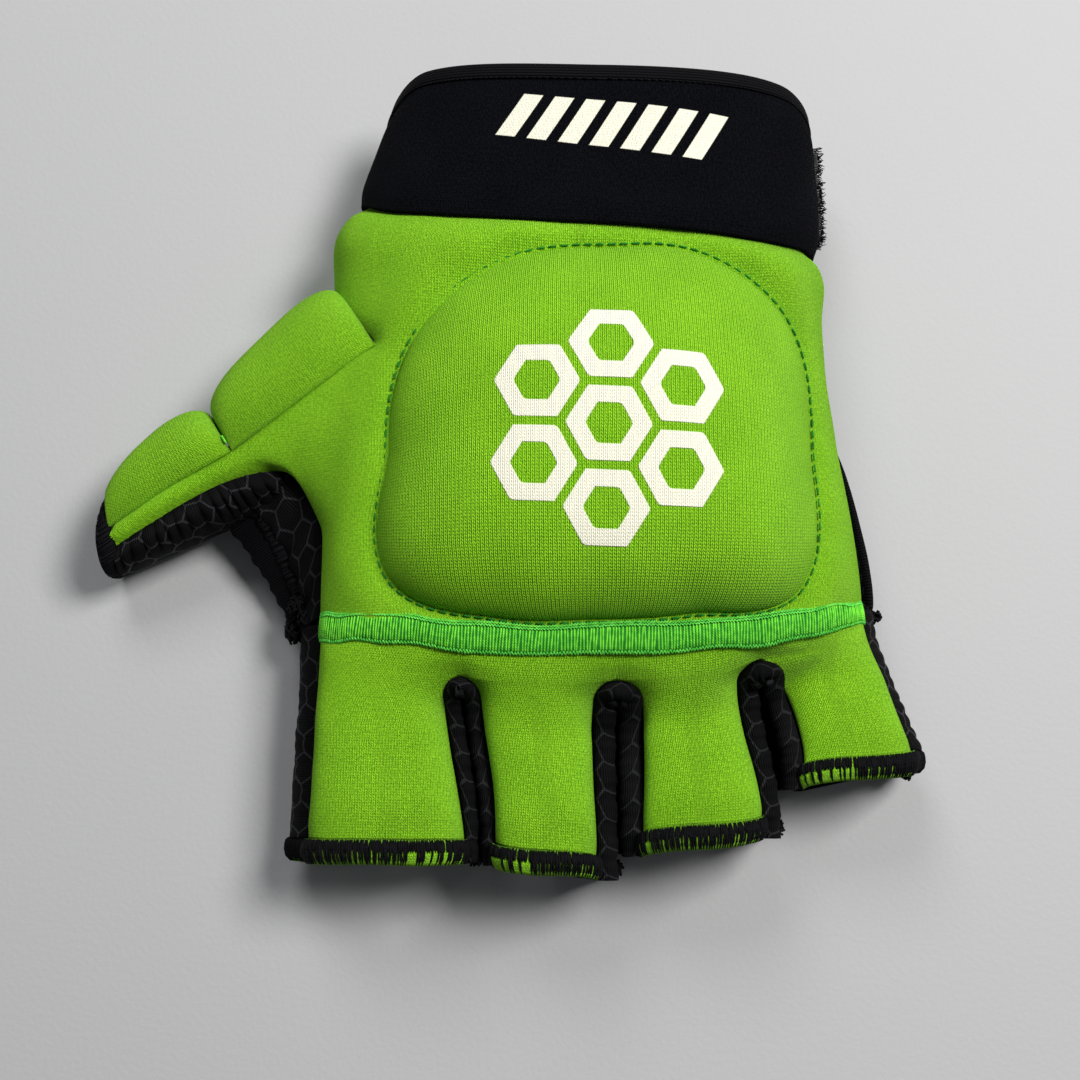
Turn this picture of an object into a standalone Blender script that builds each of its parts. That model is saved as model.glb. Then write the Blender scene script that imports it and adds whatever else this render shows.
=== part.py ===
"""Half-finger padded field-hockey glove for the left hand, lying palm down.

Run with: blender --background --python part.py

Units are metres, +Z is up, the fingers point to -Y and the thumb to -X. Every
panel lies on one hand form, a row of rounded sections along Y, so neighbouring
panels share their edges and keep the same small seam gap.
Plan positions in the tables are shares of HAND_WIDTH, heights are shares of
HAND_HEIGHT.
"""

from collections import namedtuple

import bmesh
import bpy
import numpy as np

# Driving sizes
HAND_WIDTH = 0.100
HAND_HEIGHT = 0.040
FOAM_KNIT = 0.0030
WRIST_KNIT = 0.0035
PALM_FABRIC = 0.0016
SLOT_FABRIC = 0.0012
SEAM_GAP = 0.0004
LAY_GAP = 0.0005
KNUCKLE_GAP = 0.0012
MOUTH_GAP = 0.0010
CUFF_GAP = 0.0008
MOUTH_BAND = 0.0046
MOUTH_WALL = 0.0030
BINDING_WIDTH = 0.0040
BINDING_LIFT = 0.0005
SEAM_BAND = 0.0052
SEAM_RISE = 0.0014
DOME_HEIGHT = 0.0105
THUMB_PAD_HEIGHT = 0.0045
THUMB_PAD_BACK = 0.0008
SLOT_CLEARANCE = 0.0007
SLOT_ROLL = 0.0024
LOWER_CORNER = 0.0018
SIDE_BULGE = {-1: 0.0052, 1: 0.0036}
PATCH_THICKNESS = 0.0013
TAB_THICKNESS = 0.0020
PALM_CORD_WIDTH = 0.0060
PALM_CORD_THICKNESS = 0.0024
SEAM_LIFT = 0.0003
DOME_EDGE = 0.0006
MOUTH_SWELL = 0.0004
MOUTH_TUCK = 0.0002
THUMB_MOUTH_LIFT = 0.0006
THUMB_PALM_SWELL = 0.0022
WEB_SAG = 0.0012
PATCH_MARGIN = 0.0040
MERGE_DISTANCE = 0.00002
FORM_CENTRE_X = -0.001098
FORM_CENTRE_Y = 0.000743

# Section roundness: 1 is an ellipse, smaller is boxier
ROUNDNESS = 0.80

# The hand form from the cuff's top to past the finger ends
Station = namedtuple("Station", "along left right crest side")
FORM = (
    Station(0.86, -0.195, 0.615, 0.79, 0.38),
    Station(0.76, -0.225, 0.633, 0.80, 0.38),
    Station(0.66, -0.258, 0.640, 0.82, 0.38),
    Station(0.56, -0.292, 0.642, 0.85, 0.38),
    Station(0.43, -0.331, 0.642, 0.89, 0.38),
    Station(0.30, -0.338, 0.644, 0.92, 0.38),
    Station(0.15, -0.345, 0.650, 0.93, 0.38),
    Station(0.00, -0.350, 0.668, 0.92, 0.38),
    Station(-0.16, -0.352, 0.698, 0.89, 0.38),
    Station(-0.31, -0.355, 0.718, 0.84, 0.38),
    Station(-0.45, -0.358, 0.740, 0.80, 0.38),
    Station(-0.62, -0.362, 0.790, 0.74, 0.38),
    Station(-0.82, -0.366, 0.830, 0.68, 0.38),
)

# Lines across the hand, each by its place along Y at five places across
Line = namedtuple("Line", "across along")
CUFF_SEAM = (
    Line(-1.6, 0.575),
    Line(-1.0, 0.565),
    Line(-0.5, 0.480),
    Line(0.0, 0.433),
    Line(0.5, 0.425),
    Line(1.0, 0.450),
    Line(1.6, 0.470),
)
CUFF_TOP = (
    Line(-1.6, 0.750),
    Line(-1.0, 0.768),
    Line(-0.62, 0.818),
    Line(0.0, 0.802),
    Line(0.62, 0.788),
    Line(1.0, 0.745),
    Line(1.6, 0.735),
)
KNUCKLE = (
    Line(-1.3, -0.305),
    Line(-1.0, -0.311),
    Line(-0.5, -0.328),
    Line(0.0, -0.355),
    Line(0.5, -0.316),
    Line(1.0, -0.278),
    Line(1.3, -0.268),
)

# Crease where the thumb's inner pad meets the back panel's side
PINCH = (
    Line(-1.35, 0.375),
    Line(-1.00, 0.335),
    Line(-0.80, 0.285),
    Line(-0.56, 0.237),
)

# How far the panels reach round the form
BACK_LEFT = -1.32
BACK_RIGHT = 1.12
SHOULDER = -0.56
BELOW_CROTCH = -0.93
CUFF_REACH = 1.62

# Fingers from the thumb side, with the place of both ends of each mouth
Finger = namedtuple("Finger", "name left left_end right right_end crest")
FINGERS = (
    Finger("index", -0.365, -0.768, -0.060, -0.770, 0.66),
    Finger("middle", -0.008, -0.775, 0.190, -0.803, 0.66),
    Finger("ring", 0.272, -0.758, 0.502, -0.725, 0.64),
    Finger("little", 0.580, -0.632, 0.800, -0.600, 0.58),
)
# Slots between the fingers: where each starts, and its half width
Slot = namedtuple("Slot", "across along half")
SLOTS = (
    Slot(-0.069, -0.424, 0.036),
    Slot(0.227, -0.443, 0.044),
    Slot(0.500, -0.387, 0.043),
)
SLOT_START = 0.21
SLOT_ROUND = 0.09
SLOT_EDGE_HEIGHT = 0.52
OUTER_EDGE_HEIGHT = 0.44
OUTER_KNUCKLE = {-1: -0.348, 1: 0.706}
OUTER_ACROSS = 0.93

# Thumb: the ridge along its top, and how far it reaches out, in and below
ThumbRow = namedtuple("ThumbRow", "ridge_x ridge_y top outer inner")
THUMB = (
    ThumbRow(-0.249, 0.237, 0.76, 0.155, 0.180),
    ThumbRow(-0.390, 0.122, 0.66, 0.140, 0.130),
    ThumbRow(-0.520, 0.018, 0.57, 0.125, 0.095),
    ThumbRow(-0.640, -0.062, 0.50, 0.108, 0.083),
    ThumbRow(-0.755, -0.134, 0.44, 0.090, 0.076),
)
# Pads on the thumb's outer side, by their share along it
ThumbPad = namedtuple("ThumbPad", "name start end")
THUMB_PADS = (
    ThumbPad("thumb_pad_inner", 0.035, 0.525),
    ThumbPad("thumb_pad_outer", 0.545, 1.0),
)
THUMB_PAD_TOP = 0.025
THUMB_PAD_LOW = 1.40
THUMB_PALM_START = 0.585
THUMB_PALM_LOW = -2.44
THUMB_END_WAY = (-0.86, -0.51, 0.0)
THUMB_SIDE = 0.24
THUMB_TOP_END = 0.965
# The green panel's inner edge on the thumb and down to the knuckle seam
EdgePoint = namedtuple("EdgePoint", "x y height")
CROTCH_EDGE = (
    EdgePoint(-0.758, -0.168, 0.36),
    EdgePoint(-0.650, -0.100, 0.42),
    EdgePoint(-0.540, -0.040, 0.45),
    EdgePoint(-0.438, -0.014, 0.46),
    EdgePoint(-0.372, -0.060, 0.47),
    EdgePoint(-0.349, -0.145, 0.468),
)
# Web between thumb and index finger: along the green edge, and along its binding
WEB_TOP = (
    EdgePoint(-0.490, -0.052, 0.420),
    EdgePoint(-0.430, -0.034, 0.430),
    EdgePoint(-0.385, -0.070, 0.440),
    EdgePoint(-0.366, -0.150, 0.440),
    EdgePoint(-0.364, -0.290, 0.420),
)
WEB_LOW = (
    EdgePoint(-0.480, -0.140, 0.200),
    EdgePoint(-0.465, -0.155, 0.190),
    EdgePoint(-0.445, -0.180, 0.190),
    EdgePoint(-0.425, -0.215, 0.190),
    EdgePoint(-0.405, -0.292, 0.200),
)
# Outline of the dome about its centre, by compass angle in degrees
DOME_CENTRE = (0.190, 0.020)
Reach = namedtuple("Reach", "angle radius")
DOME_OUTLINE = (
    Reach(0, 0.415),
    Reach(35, 0.450),
    Reach(62, 0.425),
    Reach(90, 0.385),
    Reach(118, 0.400),
    Reach(145, 0.410),
    Reach(180, 0.400),
    Reach(212, 0.470),
    Reach(240, 0.382),
    Reach(270, 0.335),
    Reach(298, 0.366),
    Reach(325, 0.470),
)
# Course of the elastic round the open palm, and the way its wide side faces
CordPoint = namedtuple("CordPoint", "x y height wide_x wide_y wide_z")
PALM_CORD = (
    CordPoint(0.590, 0.400, 0.17, 0.2, 0.0, 1.0),
    CordPoint(0.622, 0.250, 0.16, 0.2, 0.0, 1.0),
    CordPoint(0.665, 0.070, 0.17, 0.3, 0.0, 1.0),
    CordPoint(0.708, -0.060, 0.17, 0.5, 0.0, 1.0),
    CordPoint(0.730, -0.150, 0.16, 0.5, 0.0, 1.0),
    CordPoint(0.715, -0.215, 0.12, 0.6, 0.6, 1.0),
    CordPoint(0.640, -0.240, 0.055, 0.1, 1.0, 0.3),
    CordPoint(0.520, -0.252, 0.040, 0.0, 1.0, 0.0),
    CordPoint(0.300, -0.275, 0.040, 0.0, 1.0, 0.0),
    CordPoint(0.050, -0.280, 0.040, 0.0, 1.0, 0.0),
    CordPoint(-0.200, -0.262, 0.040, 0.0, 1.0, 0.0),
    CordPoint(-0.340, -0.250, 0.050, 0.1, 1.0, 0.1),
    CordPoint(-0.415, -0.230, 0.090, -0.7, 0.2, 0.7),
    CordPoint(-0.455, -0.185, 0.100, -0.7, 0.0, 0.8),
    CordPoint(-0.505, -0.150, 0.100, -0.5, -0.3, 0.8),
    CordPoint(-0.550, -0.140, 0.095, -0.3, -0.5, 0.8),
)
TAB_START = 1.50
TAB_LOW = 0.52
TAB_HIGH = 0.72

GREEN = (0.29, 0.68, 0.03, 1.0)
SEAM_GREEN = (0.16, 0.70, 0.08, 1.0)
BLACK_KNIT = (0.010, 0.011, 0.016, 1.0)
BLACK_PALM = (0.016, 0.016, 0.018, 1.0)
BLACK_THREAD = (0.012, 0.012, 0.013, 1.0)
BLACK_FUZZ = (0.020, 0.020, 0.022, 1.0)


# Curves through tables
def through(at, knots, values):
    """Smooth curve through the knots, with no overshoot, read at each place."""
    order = np.argsort(knots)
    k = np.asarray(knots, float)[order]
    v = np.asarray(values, float)[order]
    at = np.clip(np.asarray(at, float), k[0], k[-1])
    step = np.diff(k)
    rise = np.diff(v) / step
    slope = np.zeros_like(v)
    slope[0], slope[-1] = rise[0], rise[-1]
    same = rise[:-1] * rise[1:] > 0.0
    mean = (rise[:-1] * step[1:] + rise[1:] * step[:-1]) / (step[:-1] + step[1:])
    limit = 2.0 * np.minimum(np.abs(rise[:-1]), np.abs(rise[1:]))
    slope[1:-1] = np.where(same, np.sign(mean) * np.minimum(np.abs(mean), limit), 0.0)
    i = np.clip(np.searchsorted(k, at, side="right") - 1, 0, len(k) - 2)
    t = (at - k[i]) / step[i]
    a = 2 * t**3 - 3 * t**2 + 1
    b = t**3 - 2 * t**2 + t
    c = -2 * t**3 + 3 * t**2
    d = t**3 - t**2
    return a * v[i] + b * step[i] * slope[i] + c * v[i + 1] + d * step[i] * slope[i + 1]


def path_through(points, count, wide=False):
    """Evenly spaced places on a smooth path through plan shares and heights."""
    p = np.array([(q.x * HAND_WIDTH, q.y * HAND_WIDTH, q.height * HAND_HEIGHT) for q in points])
    facing = np.array([(q.wide_x, q.wide_y, q.wide_z) for q in points]) if wide else p
    chord = np.concatenate([[0.0], np.cumsum(np.linalg.norm(np.diff(p, axis=0), axis=1))])
    fine = np.linspace(0.0, chord[-1], 400)
    full = np.stack([through(fine, chord, p[:, i]) for i in range(3)], axis=1)
    run = np.concatenate([[0.0], np.cumsum(np.linalg.norm(np.diff(full, axis=0), axis=1))])
    at = np.linspace(0.0, run[-1], count)
    path = np.stack([np.interp(at, run, full[:, i]) for i in range(3)], axis=1)
    if not wide:
        return path
    places = np.interp(at, run, fine)
    turned = np.stack([through(places, chord, facing[:, i]) for i in range(3)], axis=1)
    return path, turned


def smoothstep(low, high, at):
    """Zero below low, one above high, and an S between."""
    t = np.clip((np.asarray(at, float) - low) / (high - low), 0.0, 1.0)
    return t * t * (3.0 - 2.0 * t)


def power(value, exponent):
    """Signed power."""
    return np.sign(value) * np.abs(value) ** exponent


def form_at(y):
    """Left, right, crest and side height of the hand form at y."""
    share = np.asarray(y, float) / HAND_WIDTH
    along = [s.along for s in FORM]
    left = through(share, along, [s.left for s in FORM]) * HAND_WIDTH
    right = through(share, along, [s.right for s in FORM]) * HAND_WIDTH
    crest = through(share, along, [s.crest for s in FORM]) * HAND_HEIGHT
    side = through(share, along, [s.side for s in FORM]) * HAND_HEIGHT
    return left, right, crest, side


def arch(across, y, under=0.0, inset=0.0):
    """Point on the hand form: across is 0 at the crest and 1 at the widest line."""
    left, right, crest, side = form_at(y)
    turn = np.asarray(across, float) * np.pi / 2
    half = (right - left) / 2 - inset
    x = (left + right) / 2 + half * power(np.sin(turn), ROUNDNESS)
    rise = power(np.cos(turn), ROUNDNESS)
    z = side + np.where(rise > 0.0, crest - side - inset, side - under - inset) * rise
    return np.stack(np.broadcast_arrays(x, y, z), axis=-1)


def arch_height(x, y):
    """Height of the hand form over a place in plan."""
    left, right, crest, side = form_at(y)
    q = np.clip(np.abs(2 * x - left - right) / (right - left), 0.0, 0.9999)
    return side + (crest - side) * (1 - q ** (2 / ROUNDNESS)) ** (ROUNDNESS / 2)


def across_of(x, y):
    """How far across the form a plan place lies."""
    left, right, _crest, _side = form_at(y)
    q = np.clip((2 * x - left - right) / (right - left), -0.9999, 0.9999)
    return np.arcsin(power(q, 1 / ROUNDNESS)) * 2 / np.pi


def line_at(line, across):
    """Place along Y of a line across the hand."""
    return through(across, [p.across for p in line], [p.along for p in line]) * HAND_WIDTH


# Making objects
def material(name, colour, roughness):
    """Plain Principled finish."""
    made = bpy.data.materials.new(name)
    made.use_nodes = True
    shader = made.node_tree.nodes["Principled BSDF"]
    shader.inputs["Base Color"].default_value = colour
    shader.inputs["Roughness"].default_value = roughness
    made.diffuse_color = colour
    return made


def grid_faces(rows, columns, first=0, closed=False):
    """Quads of a grid whose points are numbered row by row."""
    faces = []
    last = columns if closed else columns - 1
    for r in range(rows - 1):
        for c in range(last):
            n = (c + 1) % columns
            a = first + r * columns + c
            b = first + r * columns + n
            faces.append((a, a + columns, b + columns, b))
    return faces


def mesh_object(name, points, faces, finish, collection):
    """Mesh object whose doubles are merged and whose faces are smooth."""
    mesh = bpy.data.meshes.new(name)
    centre = np.array([FORM_CENTRE_X, FORM_CENTRE_Y, 0.0])
    mesh.from_pydata((np.asarray(points).reshape(-1, 3) - centre).tolist(), [], faces)
    work = bmesh.new()
    work.from_mesh(mesh)
    bmesh.ops.remove_doubles(work, verts=work.verts, dist=MERGE_DISTANCE)
    bmesh.ops.dissolve_degenerate(work, edges=work.edges, dist=MERGE_DISTANCE)
    work.to_mesh(mesh)
    work.free()
    mesh.shade_smooth()
    mesh.materials.append(finish)
    made = bpy.data.objects.new(name, mesh)
    collection.objects.link(made)
    return made


def face_one_way(made, facing):
    """Turns an open surface's faces the same way, mostly up or mostly down."""
    work = bmesh.new()
    work.from_mesh(made.data)
    bmesh.ops.recalc_face_normals(work, faces=work.faces)
    work.normal_update()
    total = sum(f.normal.z * f.calc_area() for f in work.faces)
    if total * facing < 0.0:
        bmesh.ops.reverse_faces(work, faces=work.faces)
    work.to_mesh(made.data)
    work.free()


def shell(name, patches, thickness, finish, collection, flip=False, outward=False, facing=0):
    """Open surface of one or more grid patches, given its wall by Solidify."""
    points, faces, count = [], [], 0
    for patch in patches:
        rows, columns = patch.shape[:2]
        faces += grid_faces(rows, columns, count)
        points.append(patch.reshape(-1, 3))
        count += rows * columns
    if flip:
        faces = [tuple(reversed(f)) for f in faces]
    made = mesh_object(name, np.concatenate(points), faces, finish, collection)
    if facing:
        face_one_way(made, facing)
    wall = made.modifiers.new("Wall", "SOLIDIFY")
    wall.thickness = thickness
    wall.offset = 1.0 if outward else -1.0
    wall.use_even_offset = False
    return made


def closed_body(name, top, bottom, finish, collection, closed=False):
    """Solid between two grids of the same shape."""
    rows, columns = top.shape[:2]
    n = rows * columns
    faces = grid_faces(rows, columns, 0, closed)
    faces += [tuple(reversed(f)) for f in grid_faces(rows, columns, n, closed)]
    rim = [r * columns for r in range(rows)]
    if not closed:
        loop = rim + [n - columns + c for c in range(1, columns)]
        loop += [r * columns + columns - 1 for r in range(rows - 2, -1, -1)]
        loop += list(range(columns - 2, 0, -1))
        for i, a in enumerate(loop):
            b = loop[(i + 1) % len(loop)]
            faces.append((b, a, a + n, b + n))
    else:
        for base in (0, n - columns):
            for c in range(columns):
                a, b = base + c, base + (c + 1) % columns
                side = (a, b, b + n, a + n)
                faces.append(side if base == 0 else tuple(reversed(side)))
    points = np.concatenate([top.reshape(-1, 3), bottom.reshape(-1, 3)])
    made = mesh_object(name, points, faces, finish, collection)
    facing_out(made)
    return made


def facing_out(made):
    """Turns every face of a closed mesh outwards."""
    work = bmesh.new()
    work.from_mesh(made.data)
    bmesh.ops.recalc_face_normals(work, faces=work.faces)
    work.to_mesh(made.data)
    work.free()


def swept(name, path, side, width, thickness, finish, collection, sides=8):
    """Flat oval section carried along a path; side gives its wide direction."""
    run = np.gradient(path, axis=0)
    run /= np.linalg.norm(run, axis=1, keepdims=True)
    wide = side - (side * run).sum(1, keepdims=True) * run
    wide /= np.linalg.norm(wide, axis=1, keepdims=True)
    thin = np.cross(run, wide)
    turn = np.arange(sides) * 2 * np.pi / sides
    a = power(np.cos(turn), 0.7) * width / 2
    b = power(np.sin(turn), 0.7) * thickness / 2
    rings = path[:, None] + wide[:, None] * a[None, :, None] + thin[:, None] * b[None, :, None]
    count = len(path)
    faces = grid_faces(count, sides, 0, True)
    faces.append(tuple(range(sides)))
    faces.append(tuple(reversed(range((count - 1) * sides, count * sides))))
    made = mesh_object(name, rings, faces, finish, collection)
    facing_out(made)
    return made


# Panels on the form
def back_rows():
    """Shares of the way from cuff seam to knuckle seam, cut at the thumb."""
    y0 = line_at(CUFF_SEAM, SHOULDER) - CUFF_GAP / 2
    y1 = line_at(KNUCKLE, SHOULDER) + KNUCKLE_GAP / 2
    start = (y0 - THUMB[0].ridge_y * HAND_WIDTH) / (y0 - y1)
    end = (y0 - CROTCH_EDGE[-1].y * HAND_WIDTH) / (y0 - y1)
    above = np.linspace(0.0, start, 5)
    thumb = np.linspace(start, end, 9)
    below = np.linspace(end, 1.0, 4)
    return above, thumb, below


def back_block(rows, across):
    """Grid on the form between the cuff seam and the knuckle seam."""
    a = np.broadcast_to(across, (len(rows), len(across)))
    r = np.asarray(rows)[:, None]
    top = line_at(CUFF_SEAM, a) - CUFF_GAP / 2
    low = line_at(KNUCKLE, a) + KNUCKLE_GAP / 2
    return arch(a, top + (low - top) * r)


def side_block(rows, across):
    """Left side wall between the cuff seam and the crease beside the thumb."""
    a = np.broadcast_to(across, (len(rows), len(across)))
    r = np.asarray(rows)[:, None] / rows[-1]
    top = line_at(CUFF_SEAM, a) - CUFF_GAP / 2
    return arch(a, top + (line_at(PINCH, a) - top) * r)


def thumb_rows(s):
    """Ridge point, inward direction and reaches of the thumb at share s."""
    at = np.linspace(0.0, 1.0, len(THUMB))
    read = {
        key: through(s, at, [getattr(t, key) for t in THUMB])
        for key in ThumbRow._fields
    }
    ridge = np.stack([read["ridge_x"] * HAND_WIDTH, read["ridge_y"] * HAND_WIDTH], axis=-1)
    first, last = THUMB[1], THUMB[-1]
    run = np.array([last.ridge_x - first.ridge_x, last.ridge_y - first.ridge_y])
    run /= np.linalg.norm(run)
    out = np.array([run[1], -run[0]])
    top = read["top"] * HAND_HEIGHT
    return ridge, out, top, read["outer"] * HAND_WIDTH, read["inner"] * HAND_WIDTH


def thumb_tube(turn, s, lift=0.0):
    """Point on the thumb: turn is 0 at the ridge, 1 outermost, -1 innermost, 2 below."""
    s = np.asarray(s, float)
    ridge, out, top, outer, inner = thumb_rows(s)
    side = THUMB_SIDE * HAND_HEIGHT
    angle = np.asarray(turn, float) * np.pi / 2
    reach = np.where(np.sin(angle) > 0, outer, inner) + lift
    n = reach * power(np.sin(angle), ROUNDNESS)
    rise = power(np.cos(angle), ROUNDNESS)
    z = side + np.where(rise > 0, top - side + lift, side) * rise
    x = ridge[..., 0] + out[0] * n
    y = ridge[..., 1] + out[1] * n
    return np.stack(np.broadcast_arrays(x, y, z), axis=-1)


def inner_turn(s):
    """How far round the thumb the green panel's inner edge lies."""
    edge = path_through(CROTCH_EDGE, 60)
    ridge, out, _top, _outer, inner = thumb_rows(s)
    run = np.array([-out[1], out[0]])
    mine = ridge @ run
    along = edge[:, :2] @ run
    off = edge[:, :2] @ out
    order = np.argsort(along)
    n = np.interp(mine, along[order], off[order]) - ridge @ out
    q = np.clip(-n / inner, 0.05, 0.95)
    return -np.arcsin(q ** (1 / ROUNDNESS)) * 2 / np.pi


def thumb_top(rows):
    """Green patch from the shoulder column out along the thumb."""
    below = back_block(rows[-1:], np.linspace(BELOW_CROTCH, SHOULDER, 4))[0]
    shoulder = back_block(rows, np.array([SHOULDER]))[:, 0]
    count = 11
    s = np.linspace(0.0, THUMB_TOP_END, count)
    v = np.linspace(0.0, 1.0, len(rows))
    ridge = thumb_tube(np.zeros(count), s)
    edge = path_through(CROTCH_EDGE, 60)[::-1]
    edge += (below[0] - edge[0]) * np.linspace(1.0, 0.0, 60)[:, None] ** 2
    spread = np.linspace(0.0, 59.0 * THUMB_TOP_END, count - 3)
    rest = np.stack([np.interp(spread, np.arange(60), edge[:, i]) for i in range(3)], axis=1)
    low = np.concatenate([below[::-1], rest[1:]])
    flat = ridge[:, None] * (1 - v)[None, :, None] + low[:, None] * v[None, :, None]
    gap = shoulder - flat[0]
    flat += gap[None] * ((1 - s) ** 2)[:, None, None]
    swell = np.sin(np.pi * v)[None] * np.sin(np.pi * s * 0.5)[:, None] ** 2
    flat[..., 2] += 0.04 * HAND_HEIGHT * swell
    return flat


def finger_edges(f):
    """Plan place and height of both edges of each finger at share f of its length."""
    f = np.asarray(f, float)
    open_share = np.clip((f - SLOT_START) / SLOT_ROUND, 0.0, 1.0)
    opening = np.sqrt(np.clip(1 - (1 - open_share) ** 2, 0.0, 1.0))
    rows = []
    for i, finger in enumerate(FINGERS):
        pair = []
        for side, name in ((-1, "left"), (1, "right")):
            end_x = getattr(finger, name)
            end_y = getattr(finger, name + "_end") * HAND_WIDTH + MOUTH_BAND + MOUTH_GAP
            outer = (i == 0 and side < 0) or (i == 3 and side > 0)
            if outer:
                x = (OUTER_KNUCKLE[side] + (end_x - OUTER_KNUCKLE[side]) * f) * HAND_WIDTH
                height = OUTER_EDGE_HEIGHT
            else:
                slot = SLOTS[i - 1 if side < 0 else i]
                others = FINGERS[i - 1] if side < 0 else FINGERS[i + 1]
                mate = others.right if side < 0 else others.left
                sway = smoothstep(SLOT_START, 1.0, f)
                middle = slot.across + ((end_x + mate) / 2 - slot.across) * sway
                taper = 1.0 + (abs(end_x - mate) / 2 / slot.half - 1.0) * f
                x = (middle - side * slot.half * opening * taper) * HAND_WIDTH
                height = SLOT_EDGE_HEIGHT
            pair.append((x, end_y, height * HAND_HEIGHT, outer))
        rows.append(pair)
    return rows


FINGER_ROWS = np.array(
    [0.0, 0.08, 0.15, SLOT_START, 0.222, 0.242, 0.268, 0.30, 0.38, 0.50, 0.66, 0.83, 1.0]
)


def slot_across(slot):
    """How far across the form a slot starts."""
    return across_of(SLOTS[slot].across * HAND_WIDTH, SLOTS[slot].along * HAND_WIDTH)


def finger_top(index, f, columns):
    """Back of one finger: the wide arch at the knuckles turning into its own arch."""
    finger = FINGERS[index]
    (xl, end_l, zl, outer_l), (xr, end_r, zr, outer_r) = finger_edges(f)[index]
    turn = np.linspace(-1.0, 1.0, columns)
    q = power(np.sin(turn * np.pi / 2), ROUNDNESS)
    x = (xl + xr)[:, None] / 2 + (xr - xl)[:, None] / 2 * q
    share = (1 + turn) / 2
    a0 = -OUTER_ACROSS if outer_l else slot_across(index - 1)
    a1 = OUTER_ACROSS if outer_r else slot_across(index)
    a = np.broadcast_to(a0 + (a1 - a0) * share, x.shape)
    start = line_at(KNUCKLE, a) - KNUCKLE_GAP / 2
    y = start + (end_l + (end_r - end_l) * share - start) * f[:, None]
    low = zl + (zr - zl) * share
    bow = power(np.cos(turn * np.pi / 2), ROUNDNESS)
    crest = finger.crest * HAND_HEIGHT
    own = np.stack([x, y, low + (crest - low) * bow + 0 * x], axis=-1)
    wide = arch(a, y)
    blend = smoothstep(0.0, 0.50, f)[:, None, None]
    return wide * (1 - blend) + own * blend


def finger_tops(f, columns):
    """Backs of all four fingers, joined edge to edge above the slots."""
    tops = [finger_top(i, f, columns) for i in range(4)]
    joined = f <= SLOT_START
    for i in range(3):
        middle = (tops[i][joined, -1] + tops[i + 1][joined, 0]) / 2
        tops[i][joined, -1] = middle
        tops[i + 1][joined, 0] = middle
        shared = (tops[i][:, -1] + tops[i + 1][:, 0]) / 2
        parting = np.stack(
            [
                np.ones_like(f),
                smoothstep(0.0, 0.45, f - SLOT_START),
                smoothstep(0.0, 0.05, f - SLOT_START),
            ],
            axis=1,
        )
        for top, column in ((tops[i], -1), (tops[i + 1], 0)):
            mixed = shared * (1 - parting) + top[:, column] * parting
            top[~joined, column] = mixed[~joined]
    return tops


def slot_edge(tops, slot):
    """U-shaped green edge of a slot, from one finger's end round to the next's."""
    open_rows = FINGER_ROWS >= SLOT_START
    left = tops[slot][open_rows, -1]
    right = tops[slot + 1][open_rows, 0]
    return left, right, FINGER_ROWS[open_rows]


def build_back(finishes, parts):
    """Back panel with the thumb's top, and the dome over the knuckle guard."""
    above, thumb, below = back_rows()
    wide = np.linspace(SHOULDER, BACK_RIGHT, 17)
    rows = np.concatenate([above, thumb[1:], below[1:]])
    left_wall = np.linspace(BACK_LEFT, SHOULDER, 6)
    left_low = np.linspace(BELOW_CROTCH, SHOULDER, 4)
    patches = [
        back_block(rows, wide),
        side_block(above, left_wall),
        back_block(below, left_low),
        np.flip(thumb_top(thumb), axis=1),
    ]
    shell("back_panel", patches, FOAM_KNIT, finishes["green"], parts, facing=1)


def dome_radius(angle):
    """Reach of the dome's outline in each direction."""
    angles = [r.angle for r in DOME_OUTLINE]
    radii = [r.radius for r in DOME_OUTLINE]
    angles = [a - 360 for a in angles[-3:]] + angles + [a + 360 for a in angles[:3]]
    radii = radii[-3:] + radii + radii[:3]
    return through(np.degrees(angle) % 360, angles, radii) * HAND_WIDTH


def build_dome(finishes, parts):
    """Raised pad: a fan of rings from its outline up to its crown."""
    angle = np.linspace(0.0, 2 * np.pi, 42, endpoint=False)
    reach = np.array([1.0, 0.97, 0.90, 0.78, 0.60, 0.38, 0.12])
    radius = dome_radius(angle)
    x = DOME_CENTRE[0] * HAND_WIDTH + reach[:, None] * radius * np.cos(angle)
    y = DOME_CENTRE[1] * HAND_WIDTH + reach[:, None] * radius * np.sin(angle)
    base = arch_height(x, y) + LAY_GAP
    swell = (1 - reach**3.2) ** 0.75
    top = np.stack([x, y, base + DOME_EDGE + DOME_HEIGHT * swell[:, None]], axis=-1)
    low = np.stack([x, y, base], axis=-1)
    count, columns = len(reach), len(angle)
    n = count * columns
    faces = grid_faces(count, columns, 0, True)
    faces += [tuple(reversed(f)) for f in grid_faces(count, columns, n, True)]
    for c in range(columns):
        d = (c + 1) % columns
        faces.append((c, d, d + n, c + n))
    faces.append(tuple(range(n - columns, n)))
    faces.append(tuple(reversed(range(2 * n - columns, 2 * n))))
    points = np.concatenate([top.reshape(-1, 3), low.reshape(-1, 3)])
    made = mesh_object("knuckle_pad", points, faces, finishes["green"], parts)
    facing_out(made)


def build_knuckle_seam(finishes, parts):
    """Raised overlock band lying over the joint of back and finger panels."""
    across = np.linspace(BELOW_CROTCH + 0.03, 0.96, 26)
    rows = np.linspace(-0.5, 0.5, 5)
    y = line_at(KNUCKLE, across)[None] + rows[:, None] * SEAM_BAND
    a = np.broadcast_to(across, y.shape)
    low = arch(a, y, 0.0, -LAY_GAP)
    low[..., 2] += SEAM_LIFT
    top = low.copy()
    top[..., 2] += SEAM_LIFT + SEAM_RISE * (1 - (2 * rows[:, None]) ** 2)
    closed_body("knuckle_seam", top, low, finishes["seam"], parts)


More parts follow.
